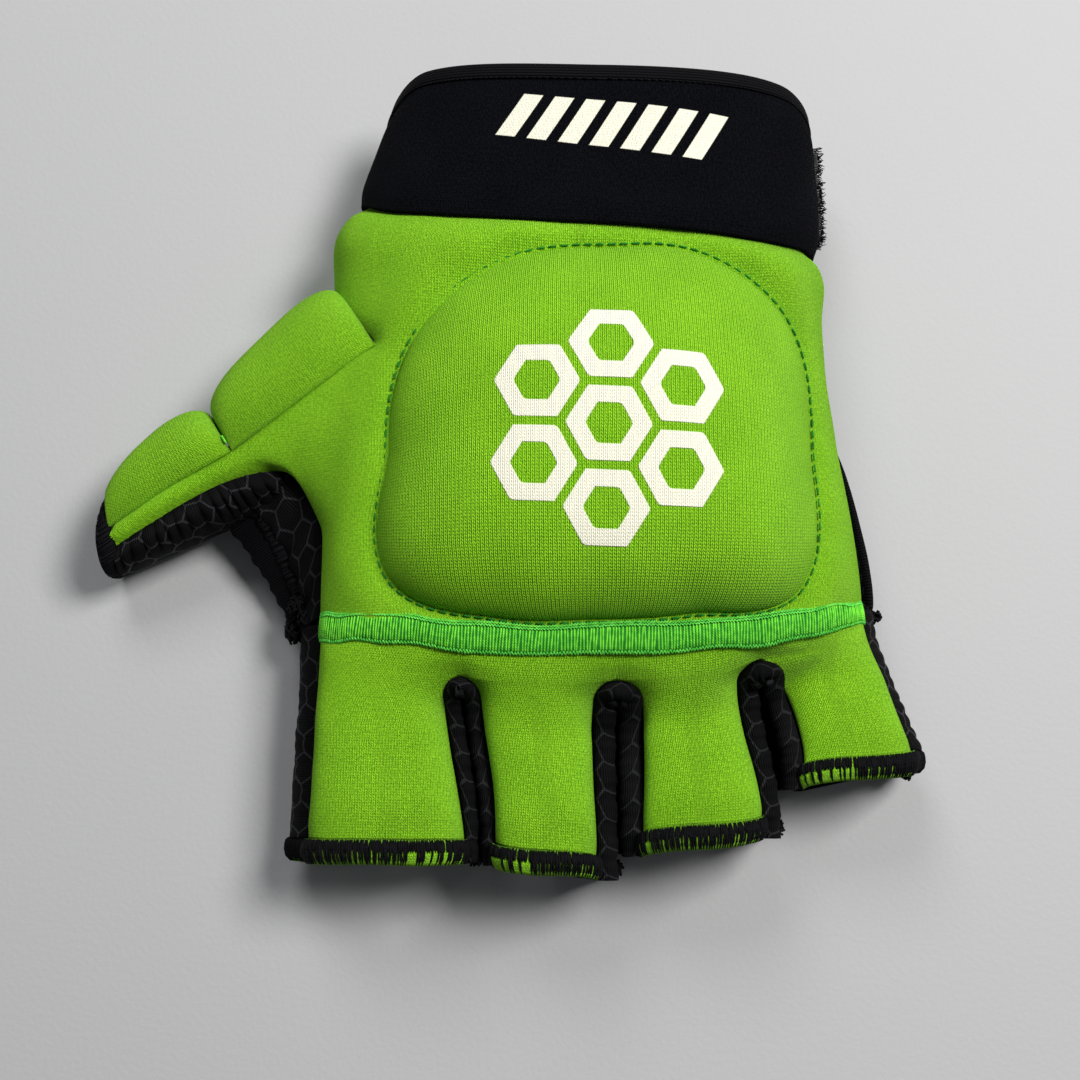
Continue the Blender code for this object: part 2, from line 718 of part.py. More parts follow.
def build_fingers(finishes, parts):
    """Finger panel, slot linings, mouth bands and the palm fabric below."""
    tops = finger_tops(FINGER_ROWS, 7)
    shell("finger_panel", tops, FOAM_KNIT, finishes["green"], parts, facing=1)

    floors = []
    for i, top in enumerate(tops):
        floor = top[:, ::2].copy()
        floor[..., 2] = 0.0
        if i == 0:
            floor = np.concatenate([outer_wall(top[:, 0], -1), floor[:, 1:]], axis=1)
        if i == 3:
            floor = np.concatenate([floor[:, :-1], outer_wall(top[:, -1], 1)[:, ::-1]], axis=1)
        floors.append(floor)
    shell("finger_palm", floors, PALM_FABRIC, finishes["palm"], parts, facing=-1)

    for slot in range(3):
        left, right, f = slot_edge(tops, slot)
        edge = np.concatenate([left[::-1], right[1:]])
        share = np.concatenate([f[::-1], f[1:]])
        run = np.gradient(edge[:, :2], axis=0)
        run /= np.linalg.norm(run, axis=1, keepdims=True)
        out = np.stack([run[:, 1], -run[:, 0]], axis=1)
        width = np.concatenate([(right - left)[::-1, 0], (right - left)[1:, 0]])
        beside = SLOT_FABRIC + SLOT_CLEARANCE
        room = np.clip(width / 2 - beside - SLOT_CLEARANCE, 0.0, SLOT_ROLL)
        room[share < SLOT_START + SLOT_ROUND] = room[share >= SLOT_START + SLOT_ROUND].max() * 0.6
        level = np.linspace(0.0, 1.0, 5)
        strip = np.empty((len(level), len(edge), 3))
        away = beside + np.sin(np.pi * level)[:, None] * room
        strip[..., 0] = edge[:, 0] + out[:, 0] * away
        strip[..., 1] = edge[:, 1] + out[:, 1] * away
        strip[..., 2] = SLOT_CLEARANCE + (edge[:, 2] - 2 * SLOT_CLEARANCE) * level[:, None]
        shell(f"fourchette_{slot + 1}", [strip], SLOT_FABRIC, finishes["slot"], parts, flip=True)

    for i, finger in enumerate(FINGERS):
        ring = mouth_loop(i, tops[i][-1])
        direction = np.array([0.0, -1.0, 0.0])
        steps = np.array([0.0, 0.25, 0.75, 1.0])
        lift = np.array([0.0, MOUTH_SWELL, MOUTH_SWELL, -MOUTH_TUCK])
        centre = ring.mean(axis=0)
        rows = []
        for step, grow in zip(steps, lift):
            away = ring - centre
            away[:, 1] = 0.0
            away /= np.linalg.norm(away, axis=1, keepdims=True)
            moved = ring + direction * (MOUTH_GAP + step * MOUTH_BAND) + away * grow
            moved[:, 2] = np.maximum(moved[:, 2], 0.0)
            rows.append(moved)
        grid = np.array(rows)
        tube(f"finger_mouth_{finger.name}", grid, MOUTH_WALL, finishes["thread"], parts)


def outer_wall(edge, side):
    """Palm fabric from the green edge down the outer side to the floor."""
    level = np.array([0.0, 0.10, 0.30, 0.55, 0.80, 0.95, 1.0])
    top = edge[:, None, 2] - SEAM_GAP
    z = top * (1 - level)
    bulge = np.array([0.0, 0.45, 0.90, 1.0, 0.75, 0.30, -0.10]) * SIDE_BULGE[side]
    wall = np.empty((len(edge), len(level), 3))
    wall[..., 0] = edge[:, None, 0] + side * bulge
    wall[..., 1] = edge[:, None, 1]
    wall[..., 2] = z
    return wall


def mouth_loop(index, top):
    """Closed loop of a finger's end: over the top, down, along the floor and up."""
    level = np.array([0.2, 0.45, 0.7, 0.85, 0.95])
    loops = []
    for point, side, outer in ((top[-1], 1, index == 3), (top[0], -1, index == 0)):
        swell = SIDE_BULGE[side] * 0.9 if outer else 0.0
        drop = np.empty((len(level), 3))
        tuck = LOWER_CORNER * smoothstep(0.55, 1.0, level)
        drop[:, 0] = point[0] + side * (np.sin(np.pi * level) * swell - tuck)
        drop[:, 1] = point[1]
        drop[:, 2] = point[2] * (1 - level)
        loops.append(drop)
    share = np.linspace(0.0, 1.0, 6)
    right, left = top[-1].copy(), top[0].copy()
    right[2], left[2] = 0.0, 0.0
    right[0] -= 1.6 * LOWER_CORNER
    left[0] += 1.6 * LOWER_CORNER
    floor = right + (left - right) * share[:, None]
    return np.concatenate([top, loops[0], floor, loops[1][::-1]])


def tube(name, grid, thickness, finish, parts):
    """Closed band round an opening, given its wall inwards."""
    rows, columns = grid.shape[:2]
    faces = grid_faces(rows, columns, 0, True)
    made = mesh_object(name, grid, faces, finish, parts)
    wall = made.modifiers.new("Wall", "SOLIDIFY")
    wall.thickness = thickness
    wall.offset = -1.0
    wall.use_even_offset = False
    return made


def build_thumb(finishes, parts):
    """Two pads, the palm fabric, the mouth band and the web at the crotch."""
    for pad in THUMB_PADS:
        s = np.linspace(pad.start, pad.end, 10)
        turn = np.linspace(THUMB_PAD_TOP, THUMB_PAD_LOW, 9)
        ss, tt = np.meshgrid(s, turn, indexing="ij")
        u = np.linspace(-1, 1, 10)[:, None]
        w = np.linspace(-1, 1, 9)[None]
        swell = (1 - np.abs(u) ** 4) ** 0.6 * (1 - np.abs(w) ** 3) ** 0.6
        flat = thumb_tube(tt, ss, SEAM_GAP)
        full = thumb_tube(tt, ss, THUMB_PAD_HEIGHT)
        low = thumb_tube(tt, ss, -THUMB_PAD_BACK)
        top = flat + (full - flat) * swell[..., None]
        top[..., 2] = np.maximum(top[..., 2], SEAM_GAP)
        closed_body(pad.name, top, low, finishes["green"], parts)

    s = np.linspace(THUMB_PALM_START, 1.0, 8)
    rows = []
    for value in s:
        start = float(inner_turn(value)) - 0.03
        turn = np.linspace(start, THUMB_PALM_LOW, 11)
        share = (start - turn) / (start - THUMB_PALM_LOW)
        swell = np.sin(np.clip(share * 1.6, 0, 1) * np.pi) * THUMB_PALM_SWELL
        beside = PALM_FABRIC + SEAM_GAP
        rows.append(thumb_tube(turn, np.full(11, value), beside * (1 - share) + swell))
    palm = np.array(rows)
    palm[..., 2] = np.maximum(palm[..., 2], 0.0)
    shell("thumb_palm", [palm], PALM_FABRIC, finishes["palm"], parts, facing=-1)

    top = path_through(WEB_TOP, 12)
    low = path_through(WEB_LOW, 12)
    level = np.linspace(0.0, 1.0, 5)[:, None, None]
    web = top * (1 - level) + low * level
    web[..., 2] -= (np.sin(np.pi * level) * WEB_SAG)[..., 0]
    shell("web_panel", [web], PALM_FABRIC, finishes["palm"], parts, facing=1)

    path, wide = path_through(PALM_CORD, 48, True)
    swept(
        "palm_binding",
        path,
        wide,
        PALM_CORD_WIDTH,
        PALM_CORD_THICKNESS,
        finishes["thread"],
        parts,
    )

    turn = np.linspace(0.0, 4.0, 26, endpoint=False)
    ring = thumb_tube(np.where(turn > 2, turn - 4, turn), np.ones(26), THUMB_MOUTH_LIFT)
    run = np.array(THUMB_END_WAY)
    steps = np.array([0.0, 0.25, 0.75, 1.0])
    grid = np.array([ring + run * (MOUTH_GAP + step * MOUTH_BAND) for step in steps])
    grid[..., 2] = np.maximum(grid[..., 2], 0.0)
    tube("thumb_mouth", grid[:, ::-1], MOUTH_WALL, finishes["thread"], parts)


def build_cuff(finishes, parts):
    """Wrist band, its top binding, the loop patch and the strap end."""
    under = TAB_THICKNESS + SEAM_GAP
    across = np.linspace(-CUFF_REACH, CUFF_REACH, 33)
    rows = np.linspace(0.0, 1.0, 5)
    top = line_at(CUFF_TOP, across) - BINDING_WIDTH - 1.5 * MOUTH_GAP
    low = line_at(CUFF_SEAM, across) + CUFF_GAP / 2
    y = top[None] + (low - top)[None] * rows[:, None]
    a = np.broadcast_to(across, y.shape)
    shell("cuff_band", [arch(a, y, under)], WRIST_KNIT, finishes["knit"], parts, facing=1)

    across = np.linspace(-CUFF_REACH, CUFF_REACH, 29)
    y = line_at(CUFF_TOP, across)[None] - BINDING_WIDTH * np.linspace(0.0, 1.0, 3)[:, None]
    a = np.broadcast_to(across, y.shape)
    band = arch(a, y, under, -BINDING_LIFT)
    wall = WRIST_KNIT + BINDING_LIFT
    shell("cuff_binding", [band], wall, finishes["thread"], parts, facing=1)

    across = np.linspace(0.97, 1.42, 8)
    top = line_at(CUFF_TOP, across) - BINDING_WIDTH - 2 * SEAM_GAP
    low = line_at(CUFF_SEAM, across) + PATCH_MARGIN
    y = top[None] + (low - top)[None] * np.linspace(0.0, 1.0, 5)[:, None]
    a = np.broadcast_to(across, y.shape)
    patch = arch(a, y, under - LAY_GAP, -LAY_GAP)
    shell("closure_patch", [patch], PATCH_THICKNESS, finishes["fuzz"], parts, outward=True)

    across = np.linspace(TAB_START, 4.0 - TAB_START, 16)
    y = (TAB_HIGH + (TAB_LOW - TAB_HIGH) * np.linspace(0.0, 1.0, 4)) * HAND_WIDTH
    a, y = np.meshgrid(across, y)
    strap = arch(a, y, TAB_THICKNESS + SEAM_GAP, -TAB_THICKNESS - SEAM_GAP)
    shell("closure_tab", [strap], TAB_THICKNESS - SEAM_GAP, finishes["knit"], parts, facing=-1)


def main():
    """Clears the scene and builds every piece."""
    for old in list(bpy.data.objects):
        bpy.data.objects.remove(old, do_unlink=True)
    parts = bpy.data.collections.new("hockey_glove")
    bpy.context.scene.collection.children.link(parts)
    finishes = {
        "green": material("green_foam_knit", GREEN, 0.9),
        "seam": material("green_overlock_thread", SEAM_GREEN, 0.8),
        "knit": material("black_wrist_knit", BLACK_KNIT, 0.9),
        "palm": material("black_hexagon_fabric", BLACK_PALM, 0.7),
        "slot": material("black_slot_fabric", BLACK_PALM, 0.8),
        "thread": material("black_overlock_thread", BLACK_THREAD, 0.8),
        "fuzz": material("black_loop_pile", BLACK_FUZZ, 0.95),
    }
    build_back(finishes, parts)
    build_dome(finishes, parts)
    build_knuckle_seam(finishes, parts)
    build_fingers(finishes, parts)
    build_thumb(finishes, parts)
    build_cuff(finishes, parts)


main()
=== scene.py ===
"""Dressed model of a half-finger padded hockey glove that lies palm down.

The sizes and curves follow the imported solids. Each panel is a surface worked out on a
grid over one hand form, in metres, with the fingers to -Y and the thumb to -X.
"""

from __future__ import annotations

import logging
import math
from dataclasses import dataclass, field
from enum import Enum
from typing import Callable, NamedTuple

import bpy
import numpy as np
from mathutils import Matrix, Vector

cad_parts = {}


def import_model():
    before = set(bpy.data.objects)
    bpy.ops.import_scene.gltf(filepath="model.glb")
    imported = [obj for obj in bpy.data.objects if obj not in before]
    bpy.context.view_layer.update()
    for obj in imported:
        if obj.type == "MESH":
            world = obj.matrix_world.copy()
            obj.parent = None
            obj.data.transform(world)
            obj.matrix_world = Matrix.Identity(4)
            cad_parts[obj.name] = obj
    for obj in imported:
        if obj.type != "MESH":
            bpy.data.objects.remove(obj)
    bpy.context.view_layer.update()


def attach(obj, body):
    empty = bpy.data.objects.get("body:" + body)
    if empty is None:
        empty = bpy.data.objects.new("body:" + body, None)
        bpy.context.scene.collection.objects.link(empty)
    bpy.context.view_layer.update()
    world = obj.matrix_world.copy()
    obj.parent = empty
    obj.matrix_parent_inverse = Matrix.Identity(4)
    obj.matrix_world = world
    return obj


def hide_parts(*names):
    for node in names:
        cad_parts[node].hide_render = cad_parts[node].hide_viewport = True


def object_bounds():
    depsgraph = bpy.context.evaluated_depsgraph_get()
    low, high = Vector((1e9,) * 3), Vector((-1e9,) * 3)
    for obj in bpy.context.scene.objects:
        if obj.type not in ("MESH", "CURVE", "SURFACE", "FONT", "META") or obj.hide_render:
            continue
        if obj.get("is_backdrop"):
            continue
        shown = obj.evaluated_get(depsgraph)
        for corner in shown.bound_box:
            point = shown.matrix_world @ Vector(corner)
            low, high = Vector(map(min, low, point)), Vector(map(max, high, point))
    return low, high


LOG = logging.getLogger("glove")
MM = 0.001

Array = np.ndarray
Colour = tuple[float, float, float, float]
Table = tuple[tuple[float, float], ...]
Rows = tuple[tuple[float, ...], ...]
Socket = bpy.types.NodeSocket
Node = bpy.types.Node
Material = bpy.types.Material

# Points nearer than these are one: within a thread, along a seam, over a whole panel
THREAD_WELD = 0.0000005
SEAM_WELD = 0.000002
PANEL_WELD = 0.00001
PATCH_WELD = 0.00002
# Least heights over the table, and how often a smooth path is sampled
FABRIC_FLOOR = 0.25 * MM
PATH_SAMPLES = 900
# Overlocked bands: rows across one, distance between its threads
BAND_ROWS = 9
WRAP_PITCH = 0.52 * MM
UP = np.array([0.0, 0.0, 1.0])


# Curves through tables
def through(at: Array | float, knots: list[float], values: list[float] | Array) -> Array:
    """Smooth curve through knots with no overshoot.

    Cubic pieces whose end slopes are a weighted mean of the neighbouring slopes, held to
    twice the smaller one, and flat where the values turn.

    Args:
        at: Places to read.
        knots: Places of the given values.
        values: Values at the knots.

    Returns:
        The curve's value at each place.
    """
    order = np.argsort(knots)
    k = np.asarray(knots, float)[order]
    v = np.asarray(values, float)[order]
    at = np.clip(np.asarray(at, float), k[0], k[-1])
    step = np.diff(k)
    rise = np.diff(v) / step
    slope = np.zeros_like(v)
    slope[0], slope[-1] = rise[0], rise[-1]
    same = rise[:-1] * rise[1:] > 0.0
    mean = (rise[:-1] * step[1:] + rise[1:] * step[:-1]) / (step[:-1] + step[1:])
    limit = 2.0 * np.minimum(np.abs(rise[:-1]), np.abs(rise[1:]))
    slope[1:-1] = np.where(same, np.sign(mean) * np.minimum(np.abs(mean), limit), 0.0)
    i = np.clip(np.searchsorted(k, at, side="right") - 1, 0, len(k) - 2)
    t = (at - k[i]) / step[i]
    start = (2 * t**3 - 3 * t**2 + 1) * v[i] + (t**3 - 2 * t**2 + t) * step[i] * slope[i]
    return start + (3 * t**2 - 2 * t**3) * v[i + 1] + (t**3 - t**2) * step[i] * slope[i + 1]


def smoothstep(low: float, high: float, at: Array | float) -> Array:
    """Zero below low, one above high, and an S between."""
    t = np.clip((np.asarray(at, float) - low) / (high - low), 0.0, 1.0)
    return t * t * (3.0 - 2.0 * t)


def power(value: Array, exponent: float) -> Array:
    """Signed power."""
    return np.sign(value) * np.abs(value) ** exponent


def unit(vectors: Array) -> Array:
    """Vectors scaled to length one."""
    return vectors / np.maximum(np.linalg.norm(vectors, axis=-1, keepdims=True), 1e-12)


def bell(away: Array, width: float) -> Array:
    """One at the middle, falling off to both sides over a width."""
    return np.exp(-((away / width) ** 2))


def half_circle(share: Array) -> Array:
    """Height of a half circle over shares from 0 to 1."""
    return np.sqrt(np.clip(1 - (2 * share - 1) ** 2, 0.0, 1.0))


def full_turn(count: int) -> Array:
    """Angles spaced evenly round a circle."""
    return np.arange(count) * 2 * np.pi / count


def no_lower(points: Array, least: float) -> Array:
    """Points with none of them lower than a height."""
    return np.concatenate([points[..., :2], np.maximum(points[..., 2:], least)], axis=-1)


def lengths_along(points: Array) -> Array:
    """Length of a broken line up to each of its corners."""
    return np.concatenate([[0.0], np.cumsum(np.linalg.norm(np.diff(points, axis=0), axis=1))])


def read_columns(at: Array, knots: Array, values: Array) -> Array:
    """Every column of values read at places between knots, on straight lines."""
    return np.stack([np.interp(at, knots, column) for column in values.T], axis=1)


def smooth_columns(at: Array, knots: Array, values: Array) -> Array:
    """Every column of values read at places between knots, on a smooth curve."""
    return np.stack([through(at, knots, column) for column in values.T], axis=1)


def path_frame(path: Array, side: Array) -> tuple[Array, Array]:
    """Directions of a path's wide and thin axes: side made square to it, and across both."""
    run = unit(np.gradient(path, axis=0))
    wide = unit(side - (side * run).sum(1, keepdims=True) * run)
    return wide, np.cross(run, wide)


def evenly(points: Array, count: int) -> Array:
    """Places spaced evenly along a broken line.

    Args:
        points: The line's corners, one a row.
        count: How many places.

    Returns:
        The places, one a row.
    """
    run = lengths_along(points)
    return read_columns(np.linspace(0.0, run[-1], count), run, points)


def smooth_path(points: Array, count: int, carried: Array | None = None) -> tuple[Array, Array]:
    """Evenly spaced places on a smooth curve through points.

    Args:
        points: Corners of the path, one a row.
        count: How many places.
        carried: Values at the corners that are read along with the path.

    Returns:
        The places, and the carried values there.
    """
    carried = points if carried is None else carried
    chord = lengths_along(points)
    fine = np.linspace(0.0, chord[-1], PATH_SAMPLES)
    full = smooth_columns(fine, chord, points)
    run = lengths_along(full)
    at = np.linspace(0.0, run[-1], count)
    return read_columns(at, run, full), smooth_columns(np.interp(at, run, fine), chord, carried)


def line_distance(points: Array, line: Array) -> Array:
    """Least distance in plan from each point to a broken line.

    Args:
        points: Points, one a row.
        line: The line's corners, one a row.

    Returns:
        One distance a point: the least over all segments of the distance to the nearest
        place on the segment.
    """
    a, b = line[:-1, :2], line[1:, :2]
    run = b - a
    size = np.maximum((run**2).sum(1), 1e-14)
    away = points[:, None, :2] - a[None]
    t = np.clip((away * run[None]).sum(2) / size, 0.0, 1.0)
    return np.sqrt((((away - t[..., None] * run[None])) ** 2).sum(2)).min(1)


def unevenness(points: Array, size: float, seed: int) -> Array:
    """Gentle hills and hollows: a sum of nine plane waves about one size long.

    Args:
        points: Points, one a row.
        size: Usual length of a wave.
        seed: Picks the waves' directions and starts.

    Returns:
        A value from about -1 to 1 at each point.
    """
    pick = np.random.default_rng(seed)
    total = np.zeros(len(points))
    for _ in range(9):
        way = unit(pick.normal(size=3))
        length = size * pick.uniform(0.6, 1.6)
        total += np.sin(points @ way * 2 * np.pi / length + pick.uniform(0, 6.3))
    return total / 4.5


# Surfaces
def grid_cells(rows: int, columns: int, closed: bool) -> tuple[Array, Array, Array]:
    """Row and column of each cell of a grid, and its four corners as point numbers."""
    last = columns if closed else columns - 1
    r, c = np.meshgrid(np.arange(rows - 1), np.arange(last), indexing="ij")
    n = (c + 1) % columns
    below = (r + 1) * columns
    return r, c, np.stack([r * columns + c, below + c, below + n, r * columns + n], axis=-1)


def many_tubes(count: int, length: int, sides: int) -> tuple[Array, Array, Array]:
    """Rows and columns of one closed tube's cells, and the quads of many such tubes."""
    r, c, one = grid_cells(length, sides, True)
    first = np.arange(count) * length * sides
    return r, c, (one.reshape(-1, 4)[None] + first[:, None, None]).reshape(-1, 4)


@dataclass
class Surface:
    """Quads over points, with a flat place in millimetres at each corner of each quad."""

    points: Array
    quads: Array
    flat: Array

    @classmethod
    def grid(cls, points: Array, flat: Array | None = None, closed: bool = False) -> Surface:
        """Surface over a grid of points.

        Args:
            points: Grid of rows by columns by three.
            flat: Flat place of each grid point, with one more column where it is closed.
            closed: Whether the last column meets the first.

        Returns:
            The surface, one quad a grid cell.
        """
        rows, columns = points.shape[:2]
        flat = arc_places(points, closed) if flat is None else flat
        r, c, quads = grid_cells(rows, columns, closed)
        around = (flat[r, c], flat[r + 1, c], flat[r + 1, c + 1], flat[r, c + 1])
        corners = np.stack(around, axis=-2)
        return cls(points.reshape(-1, 3), quads.reshape(-1, 4), corners.reshape(-1, 4, 2))

    @classmethod
    def joined(cls, parts: list[Surface], tolerance: float = THREAD_WELD) -> Surface:
        """One surface of several, whose equal points are made one.

        Args:
            parts: The surfaces.
            tolerance: Points that round to the same multiple of this are one.

        Returns:
            The joined surface.
        """
        first = np.cumsum([0] + [len(p.points) for p in parts[:-1]])
        points = np.concatenate([p.points for p in parts])
        quads = np.concatenate([p.quads + n for p, n in zip(parts, first)])
        keys = np.round(points / tolerance).astype(np.int64)
        _, kept, place = np.unique(keys, axis=0, return_index=True, return_inverse=True)
        return cls(points[kept], place.reshape(-1)[quads], np.concatenate([p.flat for p in parts]))

    def faces(self) -> Array:
        """Normal of each quad, as long as twice its area."""
        a, b, c, d = (self.points[self.quads[:, i]] for i in range(4))
        return np.cross(c - a, d - b)

    def normals(self) -> Array:
        """Mean of the faces' normals at each point, by area."""
        face = self.faces()
        total = np.zeros_like(self.points)
        for axis in range(3):
            for i in range(4):
                total[:, axis] += np.bincount(self.quads[:, i], face[:, axis], len(self.points))
        return unit(total)

    def flipped(self) -> Surface:
        """The surface with its faces the other way round."""
        return Surface(self.points, self.quads[:, ::-1], self.flat[:, ::-1])

    def facing(self, direction: Array) -> Surface:
        """The surface with its faces mostly along a direction."""
        along = (self.faces() @ np.asarray(direction, float)).sum()
        return self if along > 0 else self.flipped()

    def edges(self) -> tuple[Array, Array]:
        """Both ends of every edge, and how many quads use it."""
        pairs = np.concatenate([self.quads[:, [i, (i + 1) % 4]] for i in range(4)])
        pairs = np.sort(pairs[pairs[:, 0] != pairs[:, 1]], axis=1)
        return np.unique(pairs, axis=0, return_counts=True)

    def border(self) -> Array:
        """Which points lie on the open edge."""
        pairs, uses = self.edges()
        found = np.zeros(len(self.points), bool)
        found[pairs[uses == 1].ravel()] = True
        return found

    def border_distance(self) -> Array:
        """Distance from each point to the nearest point of the open edge."""
        rim = self.points[self.border()]
        least = np.full(len(self.points), 1.0)
        for start in range(0, len(self.points), 4000):
            part = self.points[start : start + 4000]
            gap = (part**2).sum(1)[:, None] + (rim**2).sum(1)[None] - 2 * part @ rim.T
            least[start : start + 4000] = np.sqrt(np.maximum(gap.min(1), 0.0))
        return least

    def relaxed(self, times: int, share: float = 0.5) -> Surface:
        """The surface with each inner point moved part of the way to its neighbours' mean.

        Args:
            times: How many rounds.
            share: Part of the way that a point moves in each round.

        Returns:
            The smoother surface.
        """
        pairs, _uses = self.edges()
        fixed = self.border()
        count = np.bincount(pairs.ravel(), minlength=len(self.points))[:, None]
        points = self.points.copy()
        for _ in range(times):
            total = np.zeros_like(points)
            for axis in range(3):
                total[:, axis] = np.bincount(pairs[:, 0], points[pairs[:, 1], axis], len(points))
                total[:, axis] += np.bincount(pairs[:, 1], points[pairs[:, 0], axis], len(points))
            moved = points + (total / np.maximum(count, 1) - points) * share
            points = np.where(fixed[:, None], points, moved)
        return Surface(points, self.quads, self.flat)

    def moved(self, amount: Array) -> Surface:
        """The surface with each point moved along its normal by an amount."""
        return Surface(self.points + self.normals() * amount[:, None], self.quads, self.flat)

    def above(self, least: float) -> Surface:
        """The surface with nothing lower than a height."""
        return Surface(no_lower(self.points, least), self.quads, self.flat)


def arc_places(points: Array, closed: bool = False) -> Array:
    """Flat place of each grid point in millimetres: how far along its row and column it is."""
    if closed:
        points = np.concatenate([points, points[:, :1]], axis=1)
    across = np.cumsum(np.linalg.norm(np.diff(points, axis=1), axis=2), axis=1)
    along = np.cumsum(np.linalg.norm(np.diff(points, axis=0), axis=2), axis=0)
    across = np.concatenate([np.zeros((len(points), 1)), across], axis=1)
    along = np.concatenate([np.zeros((1, points.shape[1])), along], axis=0)
    across = across - across[:, points.shape[1] // 2][:, None]
    return np.stack([across, np.broadcast_to(-along.mean(1)[:, None], across.shape)], axis=-1) / MM


def swept_oval(
    path: Array, side: Array, width: Array | float, thickness: float, sides: int
) -> Surface:
    """Flat oval carried along a path, closed at both ends.

    The oval is a superellipse whose wide axis follows side, made square to the path.

    Args:
        path: Places along the path.
        side: Direction of the wide axis at each place.
        width: Width of the oval.
        thickness: Thickness of the oval.
        sides: Points round the oval.

    Returns:
        The surface.
    """
    wide, thin = path_frame(path, side)
    turn = full_turn(sides)
    squareness = 0.65
    a = power(np.cos(turn), squareness)[None, :] * np.broadcast_to(width, len(path))[:, None] / 2
    b = np.broadcast_to(power(np.sin(turn), squareness) * thickness / 2, a.shape)
    rings = path[:, None] + wide[:, None] * a[..., None] + thin[:, None] * b[..., None]
    flat = arc_places(rings, True)
    rings = np.concatenate([rings[:1] * 0 + path[0], rings, rings[-1:] * 0 + path[-1]])
    flat = np.concatenate([flat[:1], flat, flat[-1:]])
    return Surface.joined([Surface.grid(rings, flat, True)])


def threads(
    start: Array,
    end: Array,
    lift: Array,
    rise: float,
    radius: float,
    rings: int = 6,
    sides: int = 5,
) -> Surface:
    """Many short threads at once.

    Each runs from start to end and bows along lift by rise times a half sine. Its round
    section closes to a point at both ends.

    Args:
        start: First ends, one a row.
        end: Second ends, one a row.
        lift: Direction of each bow.
        rise: Height of the bow.
        radius: Radius of a thread.
        rings: Rings along each thread.
        sides: Points round each ring.

    Returns:
        The surface of all the threads.
    """
    t = np.concatenate([[0.0], np.linspace(0.04, 0.96, rings), [1.0]])
    thick = np.concatenate([[0.0], np.full(rings, 1.0), [0.0]]) * radius
    lift = unit(lift)
    middle = start[:, None] + (end - start)[:, None] * t[None, :, None]
    middle = middle + lift[:, None] * (rise * np.sin(np.pi * t))[None, :, None]
    run = unit(np.gradient(middle, axis=1))
    side = unit(np.cross(lift[:, None], run))
    up = np.cross(run, side)
    turn = full_turn(sides)[:, None]
    ring = side[:, :, None] * np.cos(turn) + up[:, :, None] * np.sin(turn)
    points = middle[:, :, None] + ring * thick[None, :, None, None]
    count, length = len(start), len(t)
    r, c, quads = many_tubes(count, length, sides)
    size = np.linalg.norm(end - start, axis=1) / MM
    around = np.stack([c, c, c + 1, c + 1], axis=-1).reshape(-1, 4) / sides
    along = np.stack([t[r], t[r + 1], t[r + 1], t[r]], axis=-1).reshape(-1, 4)
    around = np.broadcast_to(around[None], (count, *around.shape))
    flat = np.stack([around, along[None] * size[:, None, None]], axis=-1)
    made = Surface(points.reshape(-1, 3), quads, flat.reshape(-1, 4, 2))
    return Surface.joined([made.flipped()])


# The hand form
class Station(NamedTuple):
    """One section of the hand form, in shares of its width and height."""

    along: float
    left: float
    right: float
    crest: float
    side: float


class ThumbRow(NamedTuple):
    """One section of the thumb, in shares of the hand form's width and height."""

    ridge_x: float
    ridge_y: float
    top: float
    outer: float
    inner: float


class Finger(NamedTuple):
    """One half finger: both ends of its mouth and its crest, as shares."""

    name: str
    left: float
    left_end: float
    right: float
    right_end: float
    crest: float


class Slot(NamedTuple):
    """Gap between two fingers: where it starts and its half width, as shares."""

    across: float
    along: float
    half: float


